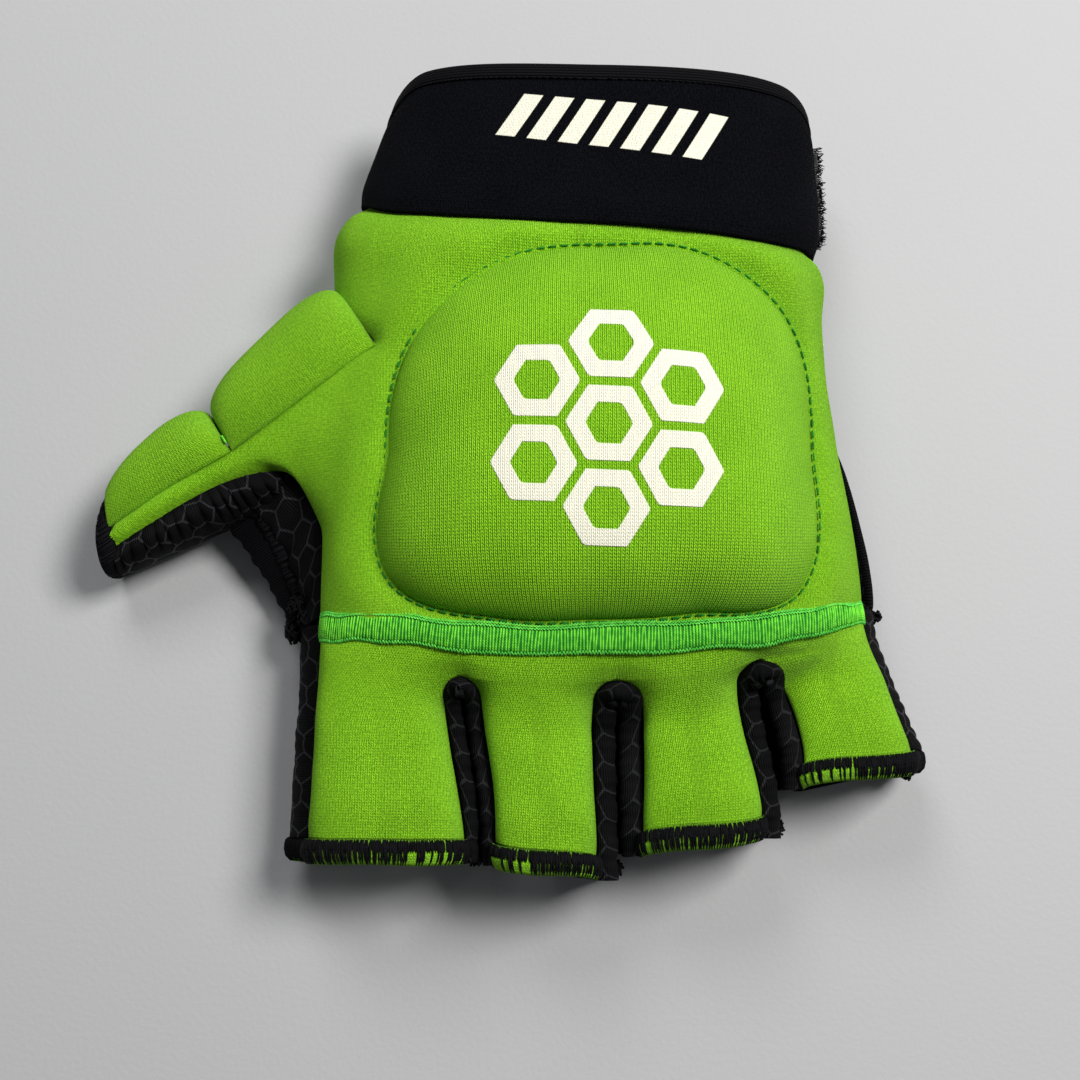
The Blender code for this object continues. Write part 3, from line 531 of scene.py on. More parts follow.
@dataclass(frozen=True)
class HandForm:
    """Rounded sections along Y that every panel lies on."""

    width: float = 0.100
    height: float = 0.040
    roundness: float = 0.80
    nearly_side: float = 0.9999
    centre: tuple[float, float, float] = (-0.001098, 0.000743, 0.0)
    stations: tuple[Station, ...] = (
        Station(0.86, -0.195, 0.615, 0.79, 0.38),
        Station(0.76, -0.225, 0.633, 0.80, 0.38),
        Station(0.66, -0.258, 0.640, 0.82, 0.38),
        Station(0.56, -0.292, 0.642, 0.85, 0.38),
        Station(0.43, -0.331, 0.642, 0.89, 0.38),
        Station(0.30, -0.338, 0.644, 0.92, 0.38),
        Station(0.15, -0.345, 0.650, 0.93, 0.38),
        Station(0.00, -0.350, 0.668, 0.92, 0.38),
        Station(-0.16, -0.352, 0.698, 0.89, 0.38),
        Station(-0.31, -0.355, 0.718, 0.84, 0.38),
        Station(-0.45, -0.358, 0.740, 0.80, 0.38),
        Station(-0.62, -0.362, 0.790, 0.74, 0.38),
        Station(-0.82, -0.366, 0.830, 0.68, 0.38),
    )
    cuff_seam: Table = (
        (-1.6, 0.575),
        (-1.0, 0.565),
        (-0.5, 0.505),
        (0.0, 0.462),
        (0.5, 0.440),
        (1.0, 0.451),
        (1.6, 0.470),
    )
    cuff_top: Table = (
        (-1.6, 0.750),
        (-1.0, 0.768),
        (-0.62, 0.818),
        (0.0, 0.802),
        (0.62, 0.788),
        (1.0, 0.745),
        (1.6, 0.735),
    )
    knuckle: Table = (
        (-1.3, -0.305),
        (-1.0, -0.311),
        (-0.5, -0.328),
        (0.0, -0.355),
        (0.5, -0.316),
        (1.0, -0.278),
        (1.3, -0.268),
    )
    pinch: Table = (
        (-1.35, 0.375),
        (-1.00, 0.335),
        (-0.80, 0.285),
        (-0.56, 0.237),
    )

    def sizes_at(self, y: Array | float) -> tuple[Array, Array, Array, Array]:
        """Left, right, crest and side height of the form at y."""
        share = np.asarray(y, float) / self.width
        along, *columns = zip(*self.stations)
        left, right, crest, side = (through(share, along, column) for column in columns)
        return left * self.width, right * self.width, crest * self.height, side * self.height

    def arch(
        self, across: Array, y: Array, under: float = 0.0, inset: Array | float = 0.0
    ) -> Array:
        """Point on the form: a superellipse whose angle is across times a right angle.

        Args:
            across: 0 at the crest, 1 at the widest line, 2 underneath.
            y: Place along Y.
            under: Height of the underside.
            inset: How far inside the form the point lies.

        Returns:
            The points.
        """
        left, right, crest, side = self.sizes_at(y)
        turn = np.asarray(across, float) * np.pi / 2
        half = (right - left) / 2 - inset
        x = (left + right) / 2 + half * power(np.sin(turn), self.roundness)
        rise = power(np.cos(turn), self.roundness)
        z = side + np.where(rise > 0.0, crest - side - inset, side - under - inset) * rise
        return np.stack(np.broadcast_arrays(x, y, z), axis=-1)

    def height_over(self, x: Array, y: Array) -> Array:
        """Height of the form over a place in plan."""
        left, right, crest, side = self.sizes_at(y)
        q = np.clip(np.abs(2 * x - left - right) / (right - left), 0.0, self.nearly_side)
        return side + (crest - side) * (1 - q ** (2 / self.roundness)) ** (self.roundness / 2)

    def across_of(self, x: Array | float, y: Array | float) -> Array:
        """How far across the form a plan place lies."""
        left, right, _crest, _side = self.sizes_at(y)
        q = np.clip((2 * x - left - right) / (right - left), -self.nearly_side, self.nearly_side)
        return np.arcsin(power(q, 1 / self.roundness)) * 2 / np.pi

    def line(self, table: Table, across: Array | float) -> Array:
        """Place along Y of a line across the hand."""
        places, values = zip(*table)
        return through(across, places, values) * self.width

    def placed(self, rows: Rows) -> Array:
        """Points from shares of the form's width, width and height."""
        return np.array([r[:3] for r in rows]) * (self.width, self.width, self.height)


FORM = HandForm()


# Shader nodes
class NodeWriter:
    """Adds nodes to one tree, with inputs given as numbers, colours or sockets."""

    def __init__(self, tree: bpy.types.NodeTree) -> None:
        """Takes the tree to write in."""
        self.tree = tree

    def put(self, socket: Socket, value: object) -> None:
        """Links a socket or sets its value."""
        if isinstance(value, Socket):
            self.tree.links.new(value, socket)
        elif value is not None:
            socket.default_value = value

    def node(
        self,
        kind: str,
        settings: dict[str, object] | None = None,
        inputs: dict[object, object] | None = None,
    ) -> Node:
        """New node of a kind, with its settings and inputs.

        Args:
            kind: Blender's name of the node.
            settings: Properties of the node.
            inputs: Values or sockets by the input's name or number.

        Returns:
            The node.
        """
        made = self.tree.nodes.new(kind)
        for key, value in (settings or {}).items():
            setattr(made, key, value)
        self.give(made, inputs or {})
        return made

    def give(self, node: Node, inputs: dict[object, object]) -> None:
        """Sets or links a node's inputs, by name or number."""
        for key, value in inputs.items():
            self.put(node.inputs[key], value)

    def maths(self, operation: str, a: object, b: object = None, c: object = None) -> Socket:
        """Result of a maths node."""
        return self.node("ShaderNodeMath", {"operation": operation}, {0: a, 1: b, 2: c}).outputs[0]

    def times(self, a: object, b: object) -> Socket:
        """Product of two values."""
        return self.maths("MULTIPLY", a, b)

    def ratio(self, a: object, b: object) -> Socket:
        """One value over another."""
        return self.maths("DIVIDE", a, b)

    def plus(self, a: object, b: object) -> Socket:
        """Sum of two values."""
        return self.maths("ADD", a, b)

    def minus(self, a: object, b: object) -> Socket:
        """One value less another."""
        return self.maths("SUBTRACT", a, b)

    def size(self, a: object) -> Socket:
        """A value without its sign."""
        return self.maths("ABSOLUTE", a)

    def sine(self, a: object) -> Socket:
        """Sine of a value."""
        return self.maths("SINE", a)

    def under(self, a: object, b: object) -> Socket:
        """One where a value is under another, else zero."""
        return self.maths("LESS_THAN", a, b)

    def vector(self, operation: str, a: object, b: object = None) -> Node:
        """Vector maths node."""
        return self.node("ShaderNodeVectorMath", {"operation": operation}, {0: a, 1: b})

    def between(
        self, value: object, low: float, high: float, first: float = 0.0, last: float = 1.0
    ) -> Socket:
        """A value mapped with an S from low and high to first and last."""
        settings = {"interpolation_type": "SMOOTHSTEP", "clamp": True}
        inputs = {0: value, 1: low, 2: high, 3: first, 4: last}
        return self.node("ShaderNodeMapRange", settings, inputs).outputs[0]

    def mixed(self, factor: object, a: object, b: object) -> Socket:
        """Two colours mixed by a factor."""
        settings = {"data_type": "RGBA", "blend_type": "MIX"}
        return self.node("ShaderNodeMix", settings, {0: factor, 6: a, 7: b}).outputs[2]

    def turned(self, place: object, x: float, y: float, degrees: float) -> Socket:
        """A flat place seen from another origin, turned."""
        inputs = {0: place, 1: (x, y, 0.0), 2: (0.0, 0.0, math.radians(degrees))}
        return self.node("ShaderNodeMapping", {"vector_type": "TEXTURE"}, inputs).outputs[0]

    def swayed(
        self, place: object, by: object, scale: float, detail: float, reach: float
    ) -> Socket:
        """A place moved about by a noise over another place."""
        inputs = {"Vector": by, "Scale": scale, "Detail": detail}
        noise = self.node("ShaderNodeTexNoise", {}, inputs).outputs[1]
        move = self.vector("MULTIPLY", noise, (reach, reach, 0.0)).outputs[0]
        return self.vector("ADD", place, move).outputs[0]

    def split(self, place: object) -> list[Socket]:
        """The three parts of a place."""
        return list(self.node("ShaderNodeSeparateXYZ", {}, {0: place}).outputs)

    def noise(
        self, place: object, scale: float, detail: float = 2.0, rough: float = 0.5
    ) -> Socket:
        """Value of a noise at a place."""
        inputs = {"Vector": place, "Scale": scale, "Detail": detail, "Roughness": rough}
        return self.node("ShaderNodeTexNoise", {}, inputs).outputs[0]

    def group(self, tree: bpy.types.NodeTree, inputs: dict[str, object]) -> Node:
        """Places a group with its own values."""
        return self.node("ShaderNodeGroup", {"node_tree": tree}, inputs)


def new_group(
    name: str, inputs: dict[str, str | tuple[str, float]], outputs: dict[str, str]
) -> tuple[NodeWriter, Node, Node]:
    """Empty shader group with named sockets.

    Args:
        name: Name of the group.
        inputs: Kind of each input, with its usual value where it has one.
        outputs: Kind of each output.

    Returns:
        A writer for the group, its input node and its output node.
    """
    tree = bpy.data.node_groups.new(name, "ShaderNodeTree")
    for key, kind in inputs.items():
        given = kind if isinstance(kind, tuple) else (kind, None)
        made = tree.interface.new_socket(key, in_out="INPUT", socket_type=given[0])
        if given[1] is not None:
            made.default_value = given[1]
    for key, kind in outputs.items():
        tree.interface.new_socket(key, in_out="OUTPUT", socket_type=kind)
    writer = NodeWriter(tree)
    return writer, writer.node("NodeGroupInput"), writer.node("NodeGroupOutput")


FLOAT = "NodeSocketFloat"
VECTOR = "NodeSocketVector"


class Effects:
    """Node groups that several materials share, each built once."""

    def __init__(self) -> None:
        """Builds every group."""
        self.knit = self.knit_loops()
        self.hexagons = self.hexagon_cells()
        self.ribs = self.rib_lines()
        self.mottle = self.mottled()
        self.twist = self.twisted_strands()

    def knit_loops(self) -> bpy.types.NodeTree:
        """Columns of V-shaped loops: two legs a column, bowed and stepped along it."""
        w, given, out = new_group(
            "knit_loops",
            {"Place": VECTOR, "Column": (FLOAT, 0.6), "Loop": (FLOAT, 0.5), "Slant": (FLOAT, 0.6)},
            {"Height": FLOAT, "Gap": FLOAT, "Column Line": FLOAT},
        )
        x, y, _z = w.split(given.outputs["Place"])
        across = w.maths("FRACT", w.ratio(x, given.outputs["Column"]))
        edge = w.times(w.size(w.minus(across, 0.5)), 2.0)
        leg = w.sine(w.times(edge, math.pi))
        along = w.ratio(y, given.outputs["Loop"])
        stepped = w.plus(along, w.times(edge, given.outputs["Slant"]))
        bow = w.sine(w.times(w.maths("FRACT", stepped), math.pi))
        full = w.plus(w.times(bow, 0.6), 0.4)
        height = w.times(w.maths("POWER", leg, 0.7), full)
        between = w.between(edge, 0.66, 0.98)
        hole = w.times(between, w.between(bow, 0.75, 0.25))
        w.give(out, {"Height": height, "Gap": hole, "Column Line": between})
        return w.tree

    def hexagon_cells(self) -> bpy.types.NodeTree:
        """Honeycomb: distance inside each cell from its edge, and each cell's middle."""
        w, given, out = new_group(
            "hexagon_cells",
            {"Place": VECTOR, "Cell": (FLOAT, 5.6)},
            {"Edge": FLOAT, "Middle": VECTOR, "Radius": FLOAT},
        )
        cell = given.outputs["Cell"]
        size = w.node("ShaderNodeCombineXYZ", {}, {0: cell, 1: cell, 2: 1.0}).outputs[0]
        place = w.vector("DIVIDE", given.outputs["Place"], size).outputs[0]
        far = w.vector("ADD", place, (40.0, 69.2820323, 0.0)).outputs[0]
        step, half = (1.0, 1.7320508, 1.0), (0.5, 0.8660254, 0.0)
        first = w.vector("SUBTRACT", w.vector("MODULO", far, step).outputs[0], half).outputs[0]
        moved = w.vector("SUBTRACT", far, half).outputs[0]
        second = w.vector("SUBTRACT", w.vector("MODULO", moved, step).outputs[0], half).outputs[0]
        near = w.under(w.vector("LENGTH", first).outputs[1], w.vector("LENGTH", second).outputs[1])
        chosen = w.node("ShaderNodeMix", {"data_type": "VECTOR"}, {0: near, 4: second, 5: first})
        own = w.vector("MULTIPLY", chosen.outputs[1], (1.0, 1.0, 0.0)).outputs[0]
        turned = w.vector("ABSOLUTE", own).outputs[0]
        slanted = w.vector("DOT_PRODUCT", turned, (0.5, 0.8660254, 0.0)).outputs[1]
        sideways = w.vector("DOT_PRODUCT", turned, (1.0, 0.0, 0.0)).outputs[1]
        reach = w.maths("SMOOTH_MAX", slanted, sideways, 0.06)
        middle = w.vector("SUBTRACT", place, own).outputs[0]
        level = w.vector("MULTIPLY", middle, (1.0, 1.0, 0.0)).outputs[0]
        w.give(
            out,
            {
                "Edge": w.times(w.minus(0.5, reach), cell),
                "Middle": middle,
                "Radius": w.vector("LENGTH", level).outputs[1],
            },
        )
        return w.tree

    def rib_lines(self) -> bpy.types.NodeTree:
        """Fine ribs across a fabric, broken by short crossing threads."""
        w, given, out = new_group(
            "rib_lines",
            {"Place": VECTOR, "Rib": (FLOAT, 0.5), "Thread": (FLOAT, 0.35)},
            {"Height": FLOAT},
        )
        x, y, _z = w.split(given.outputs["Place"])
        rib = w.sine(w.times(w.ratio(y, given.outputs["Rib"]), math.pi))
        offset = w.times(w.maths("SIGN", rib), 0.25)
        across = w.plus(w.ratio(x, given.outputs["Thread"]), offset)
        crossing = w.size(w.sine(w.times(across, math.pi)))
        full = w.plus(0.55, w.times(crossing, 0.45))
        w.give(out, {"Height": w.times(w.maths("POWER", w.size(rib), 0.8), full)})
        return w.tree

    def mottled(self) -> bpy.types.NodeTree:
        """Soft patches, fine fuzz and rare lint over a fabric."""
        w, given, out = new_group(
            "mottled_fabric",
            {"Place": VECTOR, "Patch": (FLOAT, 0.07), "Fuzz": (FLOAT, 1.9)},
            {"Patches": FLOAT, "Fuzz": FLOAT, "Lint": FLOAT},
        )
        place = given.outputs["Place"]
        bits = w.node("ShaderNodeTexVoronoi", {"feature": "F1"}, {"Vector": place, "Scale": 0.11})
        w.give(
            out,
            {
                "Patches": w.noise(place, given.outputs["Patch"], 3.0, 0.6),
                "Fuzz": w.noise(place, given.outputs["Fuzz"], 2.0, 0.7),
                "Lint": w.between(bits.outputs["Distance"], 0.035, 0.018),
            },
        )
        return w.tree

    def twisted_strands(self) -> bpy.types.NodeTree:
        """Slanting strands round a sewing thread."""
        sockets = {"Place": VECTOR, "Turns": (FLOAT, 2.2)}
        w, given, out = new_group("twisted_strands", sockets, {"Height": FLOAT})
        x, y, _z = w.split(given.outputs["Place"])
        turned = w.plus(w.times(x, 2.0), w.times(y, given.outputs["Turns"]))
        w.give(out, {"Height": w.size(w.sine(w.times(turned, math.pi)))})
        return w.tree


@dataclass
class Finish:
    """One material on a Principled shader."""

    name: str
    roughness: float = 0.8

    def start(self) -> tuple[Material, NodeWriter, Node, Socket]:
        """New material with its writer, shader and the flat place in millimetres."""
        made = bpy.data.materials.new(self.name)
        made.use_nodes = True
        writer = NodeWriter(made.node_tree)
        shader = made.node_tree.nodes["Principled BSDF"]
        shader.inputs["Roughness"].default_value = self.roughness
        place = writer.node("ShaderNodeUVMap", {"uv_map": "flat"}).outputs[0]
        return made, writer, shader, place

    def faced(self, w: NodeWriter, shader: Node, colour: object, matte: object) -> None:
        """Gives the shader its colour and roughness, with the faint shine of black cloth."""
        w.give(shader, {"Base Color": colour, "Roughness": matte, "Specular IOR Level": 0.06})

    def bumped(self, w: NodeWriter, shader: Node, height: object, depth: float) -> None:
        """Gives the shader a bump of a height in millimetres."""
        bump = w.node("ShaderNodeBump", {}, {"Height": height, "Strength": 1.0, "Distance": depth})
        w.put(shader.inputs["Normal"], bump.outputs[0])


class Print(Enum):
    """Screen print on a panel."""

    NONE = "none"
    HONEYCOMB = "honeycomb"
    DASHES = "dashes"


@dataclass
class KnitFinish(Finish):
    """Knitted face of a foam panel, plain or with a screen print."""

    colour: Colour = (0.36, 0.80, 0.022, 1.0)
    # deep: painted shade colour of the knit's holes, grooves and low loops, also of its random
    # flecks and patches
    deep: Colour = (0.10, 0.33, 0.003, 1.0)
    column: float = 0.62
    loop: float = 0.50
    hole: float = 0.30
    line: float = 0.05
    speckle: float = 0.42
    broken: float = 0.30
    depth: float = 0.00026
    sheen: float = 0.04
    gloss: float = 0.10
    print_kind: Print = Print.NONE
    ink: Colour = (0.93, 0.91, 0.74, 1.0)
    # Painted shade colour of the ink over the knit's holes
    ink_in_gaps: Colour = (0.45, 0.44, 0.27, 1.0)
    ink_height: float = 1.1
    ink_roughness: float = 0.55
    between_loops: float = 0.28
    patchiness: float = 0.16

    def honeycomb_mask(self, w: NodeWriter, effects: Effects, place: Socket) -> Socket:
        """Seven thick hexagon outlines about the panel's middle."""
        turned = w.turned(place, 1.5, 0.5, 28.0)
        cells = w.group(effects.hexagons, {"Place": turned, "Cell": 15.5})
        edge = cells.outputs["Edge"]
        ring = w.times(w.between(edge, 0.70, 0.95), w.between(edge, 4.1, 3.85))
        return w.times(ring, w.under(cells.outputs["Radius"], 1.2))

    def dash_mask(self, w: NodeWriter, place: Socket) -> Socket:
        """Row of slanting bars."""
        pitch = 6.2
        x, y, _z = w.split(w.turned(place, 2.0, -9.5, -3.5))
        slanted = w.minus(x, w.times(y, 0.45))
        cell = w.minus(w.maths("FRACT", w.plus(w.ratio(slanted, pitch), 0.5)), 0.5)
        bar = w.between(w.times(w.size(cell), pitch), 2.0, 1.85)
        tall = w.between(w.size(y), 4.3, 4.15)
        wide = w.under(w.size(slanted), 21.7)
        return w.times(w.times(bar, tall), wide)

    def build(self, effects: Effects) -> Material:
        """Makes the material.

        Args:
            effects: The shared node groups.

        Returns:
            The material.
        """
        made, w, shader, place = self.start()
        swayed = w.swayed(place, place, 0.09, 2.0, 0.5)
        swayed = w.swayed(swayed, place, 1.3, 1.0, self.broken)
        knit = w.group(effects.knit, {"Place": swayed, "Column": self.column, "Loop": self.loop})
        mottle = w.group(effects.mottle, {"Place": place})
        # Painted shade: holes, grooves between columns and low parts between loops darken toward
        # deep; the fuzz speckle and patches are random tone
        dark = w.times(knit.outputs["Gap"], self.hole)
        dark = w.plus(dark, w.times(knit.outputs["Column Line"], self.line))
        fuzz = w.between(mottle.outputs["Fuzz"], 0.36, 0.64)
        dark = w.plus(dark, w.times(w.minus(1.0, fuzz), self.speckle))
        dark = w.plus(dark, w.times(w.minus(1.0, knit.outputs["Height"]), self.between_loops))
        tone = w.between(mottle.outputs["Patches"], 0.3, 0.7, 0.0, self.patchiness)
        clamped = {"operation": "ADD", "use_clamp": True}
        dark = w.node("ShaderNodeMath", clamped, {0: dark, 1: tone}).outputs[0]
        colour = w.mixed(dark, self.colour, self.deep)
        height = w.plus(knit.outputs["Height"], w.times(mottle.outputs["Fuzz"], 0.5))
        if self.print_kind is not Print.NONE:
            honeycomb = self.print_kind is Print.HONEYCOMB
            mask = self.honeycomb_mask(w, effects, place) if honeycomb else self.dash_mask(w, place)
            cracks = w.between(w.noise(place, 1.9, 3.0, 0.7), 0.66, 0.74)
            shown = w.times(mask, w.minus(1.0, w.times(cracks, 0.35)))
            # Painted shade: the ink darkens over the knit's holes; the cracks above are the print's
            # real wear
            worn = w.mixed(w.times(knit.outputs["Gap"], 0.45), self.ink, self.ink_in_gaps)
            colour = w.mixed(shown, colour, worn)
            matte = w.between(mask, 0.0, 1.0, self.roughness, self.ink_roughness)
            w.give(shader, {"Roughness": matte})
            flatter = w.minus(1.0, w.times(mask, 0.5))
            height = w.plus(w.times(height, flatter), w.times(mask, self.ink_height))
        sheen = {"Sheen Weight": self.sheen, "Sheen Roughness": 0.5}
        w.give(shader, {"Base Color": colour, "Specular IOR Level": self.gloss, **sheen})
        self.bumped(w, shader, height, self.depth)
        return made


@dataclass
class HexagonFinish(Finish):
    """Ribbed black fabric with glossy hexagon outlines printed on it."""

    colour: Colour = (0.0060, 0.0060, 0.0068, 1.0)
    line: Colour = (0.024, 0.024, 0.027, 1.0)
    cell: float = 5.4
    # Painted shade colour of the grooves between ribs
    deep: Colour = (0.0008, 0.0008, 0.0010, 1.0)
    worn: Colour = (0.009, 0.009, 0.010, 1.0)
    line_width: float = 0.27
    rib: float = 0.48

    def build(self, effects: Effects) -> Material:
        """Makes the material from the shared node groups."""
        made, w, shader, place = self.start()
        cells = w.group(effects.hexagons, {"Place": place, "Cell": self.cell})
        ribs = w.group(effects.ribs, {"Place": place, "Rib": self.rib, "Thread": 0.42})
        mottle = w.group(effects.mottle, {"Place": place})
        line = w.between(cells.outputs["Edge"], self.line_width, self.line_width * 0.6)
        # Painted shade: the low grooves between ribs darken toward deep
        raised = w.times(ribs.outputs["Height"], 0.7)
        base = w.mixed(raised, self.deep, self.colour)
        # The lighter patches here are random wear, with no light or shade in them
        patches = w.between(mottle.outputs["Patches"], 0.35, 0.75, 0.0, 0.4)
        base = w.mixed(patches, base, self.worn)
        matte = w.between(line, 0.0, 1.0, self.roughness, 0.38)
        self.faced(w, shader, w.mixed(line, base, self.line), matte)
        height = w.plus(ribs.outputs["Height"], w.times(line, 1.4))
        self.bumped(w, shader, height, 0.00014)
        return made


@dataclass
class ElasticFinish(Finish):
    """Woven elastic binding with ribs across it."""

    colour: Colour = (0.0055, 0.0055, 0.0068, 1.0)
    # Painted shade colour of the grooves between ribs
    deep: Colour = (0.0006, 0.0006, 0.0008, 1.0)
    lint: Colour = (0.2, 0.2, 0.2, 1.0)
    rib: float = 0.55
    across: bool = False

    def build(self, effects: Effects) -> Material:
        """Makes the material from the shared node groups."""
        made, w, shader, place = self.start()
        if self.across:
            x, y, _z = w.split(place)
            place = w.node("ShaderNodeCombineXYZ", {}, {0: y, 1: x, 2: 0.0}).outputs[0]
        ribs = w.group(effects.ribs, {"Place": place, "Rib": self.rib, "Thread": 0.5})
        mottle = w.group(effects.mottle, {"Place": place})
        height = ribs.outputs["Height"]
        # Painted shade: the low grooves between ribs darken toward deep
        base = w.mixed(height, self.deep, self.colour)
        base = w.mixed(w.times(mottle.outputs["Lint"], 0.4), base, self.lint)
        matte = w.between(height, 0.0, 1.0, self.roughness + 0.1, self.roughness - 0.1)
        self.faced(w, shader, base, matte)
        self.bumped(w, shader, height, 0.00018)
        return made


@dataclass
class ThreadFinish(Finish):
    """Twisted sewing thread with a soft shine."""

    colour: Colour = (0.0016, 0.0016, 0.0020, 1.0)
    # Painted highlight colour of the raised strands, also reached by random tone
    bright: Colour = (0.0065, 0.0065, 0.0078, 1.0)

    def build(self, effects: Effects) -> Material:
        """Makes the material from the shared node groups."""
        made, w, shader, place = self.start()
        twist = w.group(effects.twist, {"Place": place})
        spot = w.node("ShaderNodeTexCoord").outputs["Object"]
        tone = w.between(w.noise(spot, 900.0, 1.0), 0.35, 0.65)
        # Painted highlight: the twist's raised strands lighten, mixed half and half with random
        # tone
        blend = w.times(w.plus(twist.outputs["Height"], tone), 0.5)
        matte = w.between(tone, 0.0, 1.0, self.roughness - 0.08, self.roughness + 0.08)
        self.faced(w, shader, w.mixed(blend, self.colour, self.bright), matte)
        self.bumped(w, shader, twist.outputs["Height"], 0.00005)
        return made


@dataclass
class FloorFinish(Finish):
    """Matte pale table top."""

    colour: Colour = (0.46, 0.46, 0.465, 1.0)
    cloud: Colour = (0.42, 0.42, 0.425, 1.0)

    def build(self, effects: Effects) -> Material:
        """Makes the material from the shared node groups."""
        made, w, shader, _place = self.start()
        spot = w.node("ShaderNodeTexCoord").outputs["Object"]
        cloudy = w.between(w.noise(spot, 9.0, 3.0), 0.3, 0.7)
        grain = w.noise(spot, 900.0, 2.0)
        w.give(shader, {"Base Color": w.mixed(w.times(cloudy, 0.12), self.colour, self.cloud)})
        self.bumped(w, shader, grain, 0.00006)
        return made


@dataclass
class Palette:
    """Every finish of the glove, as materials."""

    effects: Effects = field(default_factory=Effects)
    made: dict[str, Material] = field(default_factory=dict)

    def __post_init__(self) -> None:
        """Builds the materials."""
        finishes: list[Finish] = [
            KnitFinish("green_foam_knit", 0.92),
            KnitFinish(
                "green_dome_knit",
                0.9,
                column=0.78,
                loop=0.62,
                hole=0.75,
                line=0.34,
                speckle=0.34,
                broken=0.12,
                depth=0.0003,
                print_kind=Print.HONEYCOMB,
            ),
            KnitFinish(
                "green_lining",
                0.95,
                colour=(0.16, 0.42, 0.015, 1.0),
                deep=(0.05, 0.16, 0.004, 1.0),
            ),
            KnitFinish(
                "black_wrist_knit",
                0.88,
                colour=(0.0072, 0.0076, 0.0110, 1.0),
                deep=(0.0002, 0.0002, 0.0004, 1.0),
                column=0.55,
                loop=0.5,
                sheen=0.0,
                gloss=0.03,
                print_kind=Print.DASHES,
            ),
            HexagonFinish("black_hexagon_fabric", 0.72),
            HexagonFinish("black_slot_fabric", 0.75, line=(0.017, 0.017, 0.019, 1.0)),
            ElasticFinish("black_elastic", 0.7),
            ElasticFinish("black_elastic_lengthwise", 0.7, across=True),
            ThreadFinish("black_overlock_thread", 0.62),
            ThreadFinish(
                "green_overlock_thread", 0.5, (0.05, 0.42, 0.03, 1.0), (0.24, 0.84, 0.055, 1.0)
            ),
            ThreadFinish(
                "green_chain_thread", 0.5, (0.04, 0.44, 0.04, 1.0), (0.20, 0.84, 0.11, 1.0)
            ),
            ThreadFinish(
                "dark_green_thread", 0.6, (0.008, 0.12, 0.010, 1.0), (0.03, 0.26, 0.03, 1.0)
            ),
            KnitFinish(
                "black_loop_pile",
                0.95,
                colour=(0.02, 0.02, 0.022, 1.0),
                deep=(0.004, 0.004, 0.005, 1.0),
                depth=0.0006,
                sheen=0.3,
            ),
        ]
        for finish in finishes:
            self.made[finish.name] = finish.build(self.effects)

    def __getitem__(self, name: str) -> Material:
        """The material of that name."""
        return self.made[name]


# Pieces
class Wall(NamedTuple):
    """Thickness given to an open surface, and the finish of its inside."""

    thickness: float
    lining: str
    rim: int = 0


def make_mesh(name: str, surface: Surface) -> bpy.types.Mesh:
    """Mesh of a surface in the solids' frame, where a quad with a double corner is a triangle."""
    points = surface.points - np.array(FORM.centre)
    double = surface.quads == np.roll(surface.quads, 1, axis=1)
    keep = (4 - double.sum(1)) >= 3
    single = ~double[keep]
    loops = surface.quads[keep][single]
    totals = single.sum(1)
    starts = np.concatenate([[0], np.cumsum(totals)[:-1]])
    mesh = bpy.data.meshes.new(name)
    mesh.vertices.add(len(points))
    mesh.vertices.foreach_set("co", points.astype(np.float32).ravel())
    mesh.loops.add(len(loops))
    mesh.loops.foreach_set("vertex_index", loops.astype(np.int32))
    mesh.polygons.add(len(totals))
    mesh.polygons.foreach_set("loop_start", starts.astype(np.int32))
    mesh.uv_layers.new(name="flat")
    flat = surface.flat[keep][single].astype(np.float32)
    mesh.uv_layers["flat"].data.foreach_set("uv", flat.ravel())
    mesh.update(calc_edges=True)
    mesh.validate()
    mesh.shade_smooth()
    return mesh


def make_piece(
    name: str,
    surface: Surface,
    palette: Palette,
    finish: str,
    replaces: tuple[str, ...] = (),
    wall: Wall | None = None,
) -> None:
    """Adds a surface to the scene as a piece that rides on the glove's one body.

    Args:
        name: The piece's name.
        surface: Its surface.
        palette: The materials.
        finish: Name of its material.
        replaces: CAD nodes that it stands for.
        wall: Thickness, where the surface is open.
    """
    name = f"{name}_cloth" if replaces else name
    mesh = make_mesh(name, surface)
    mesh.materials.append(palette[finish])
    made = bpy.data.objects.new(name, mesh)
    bpy.context.scene.collection.objects.link(made)
    if wall:
        mesh.materials.append(palette[wall.lining])
        thick = made.modifiers.new("Wall", "SOLIDIFY")
        thick.thickness = wall.thickness
        thick.offset = -1.0
        thick.use_even_offset = False
        thick.material_offset = 1
        thick.material_offset_rim = wall.rim
    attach(made, "root")
    if replaces:
        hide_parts(*replaces)
    LOG.info("%s: %d points, %d faces", name, len(mesh.vertices), len(mesh.polygons))


def make_cloth(
    name: str,
    surface: Surface,
    palette: Palette,
    finish: str,
    wall: Wall | None = None,
) -> None:
    """Adds the piece that stands for the CAD node of its own name."""
    make_piece(name, surface, palette, finish, (name,), wall)


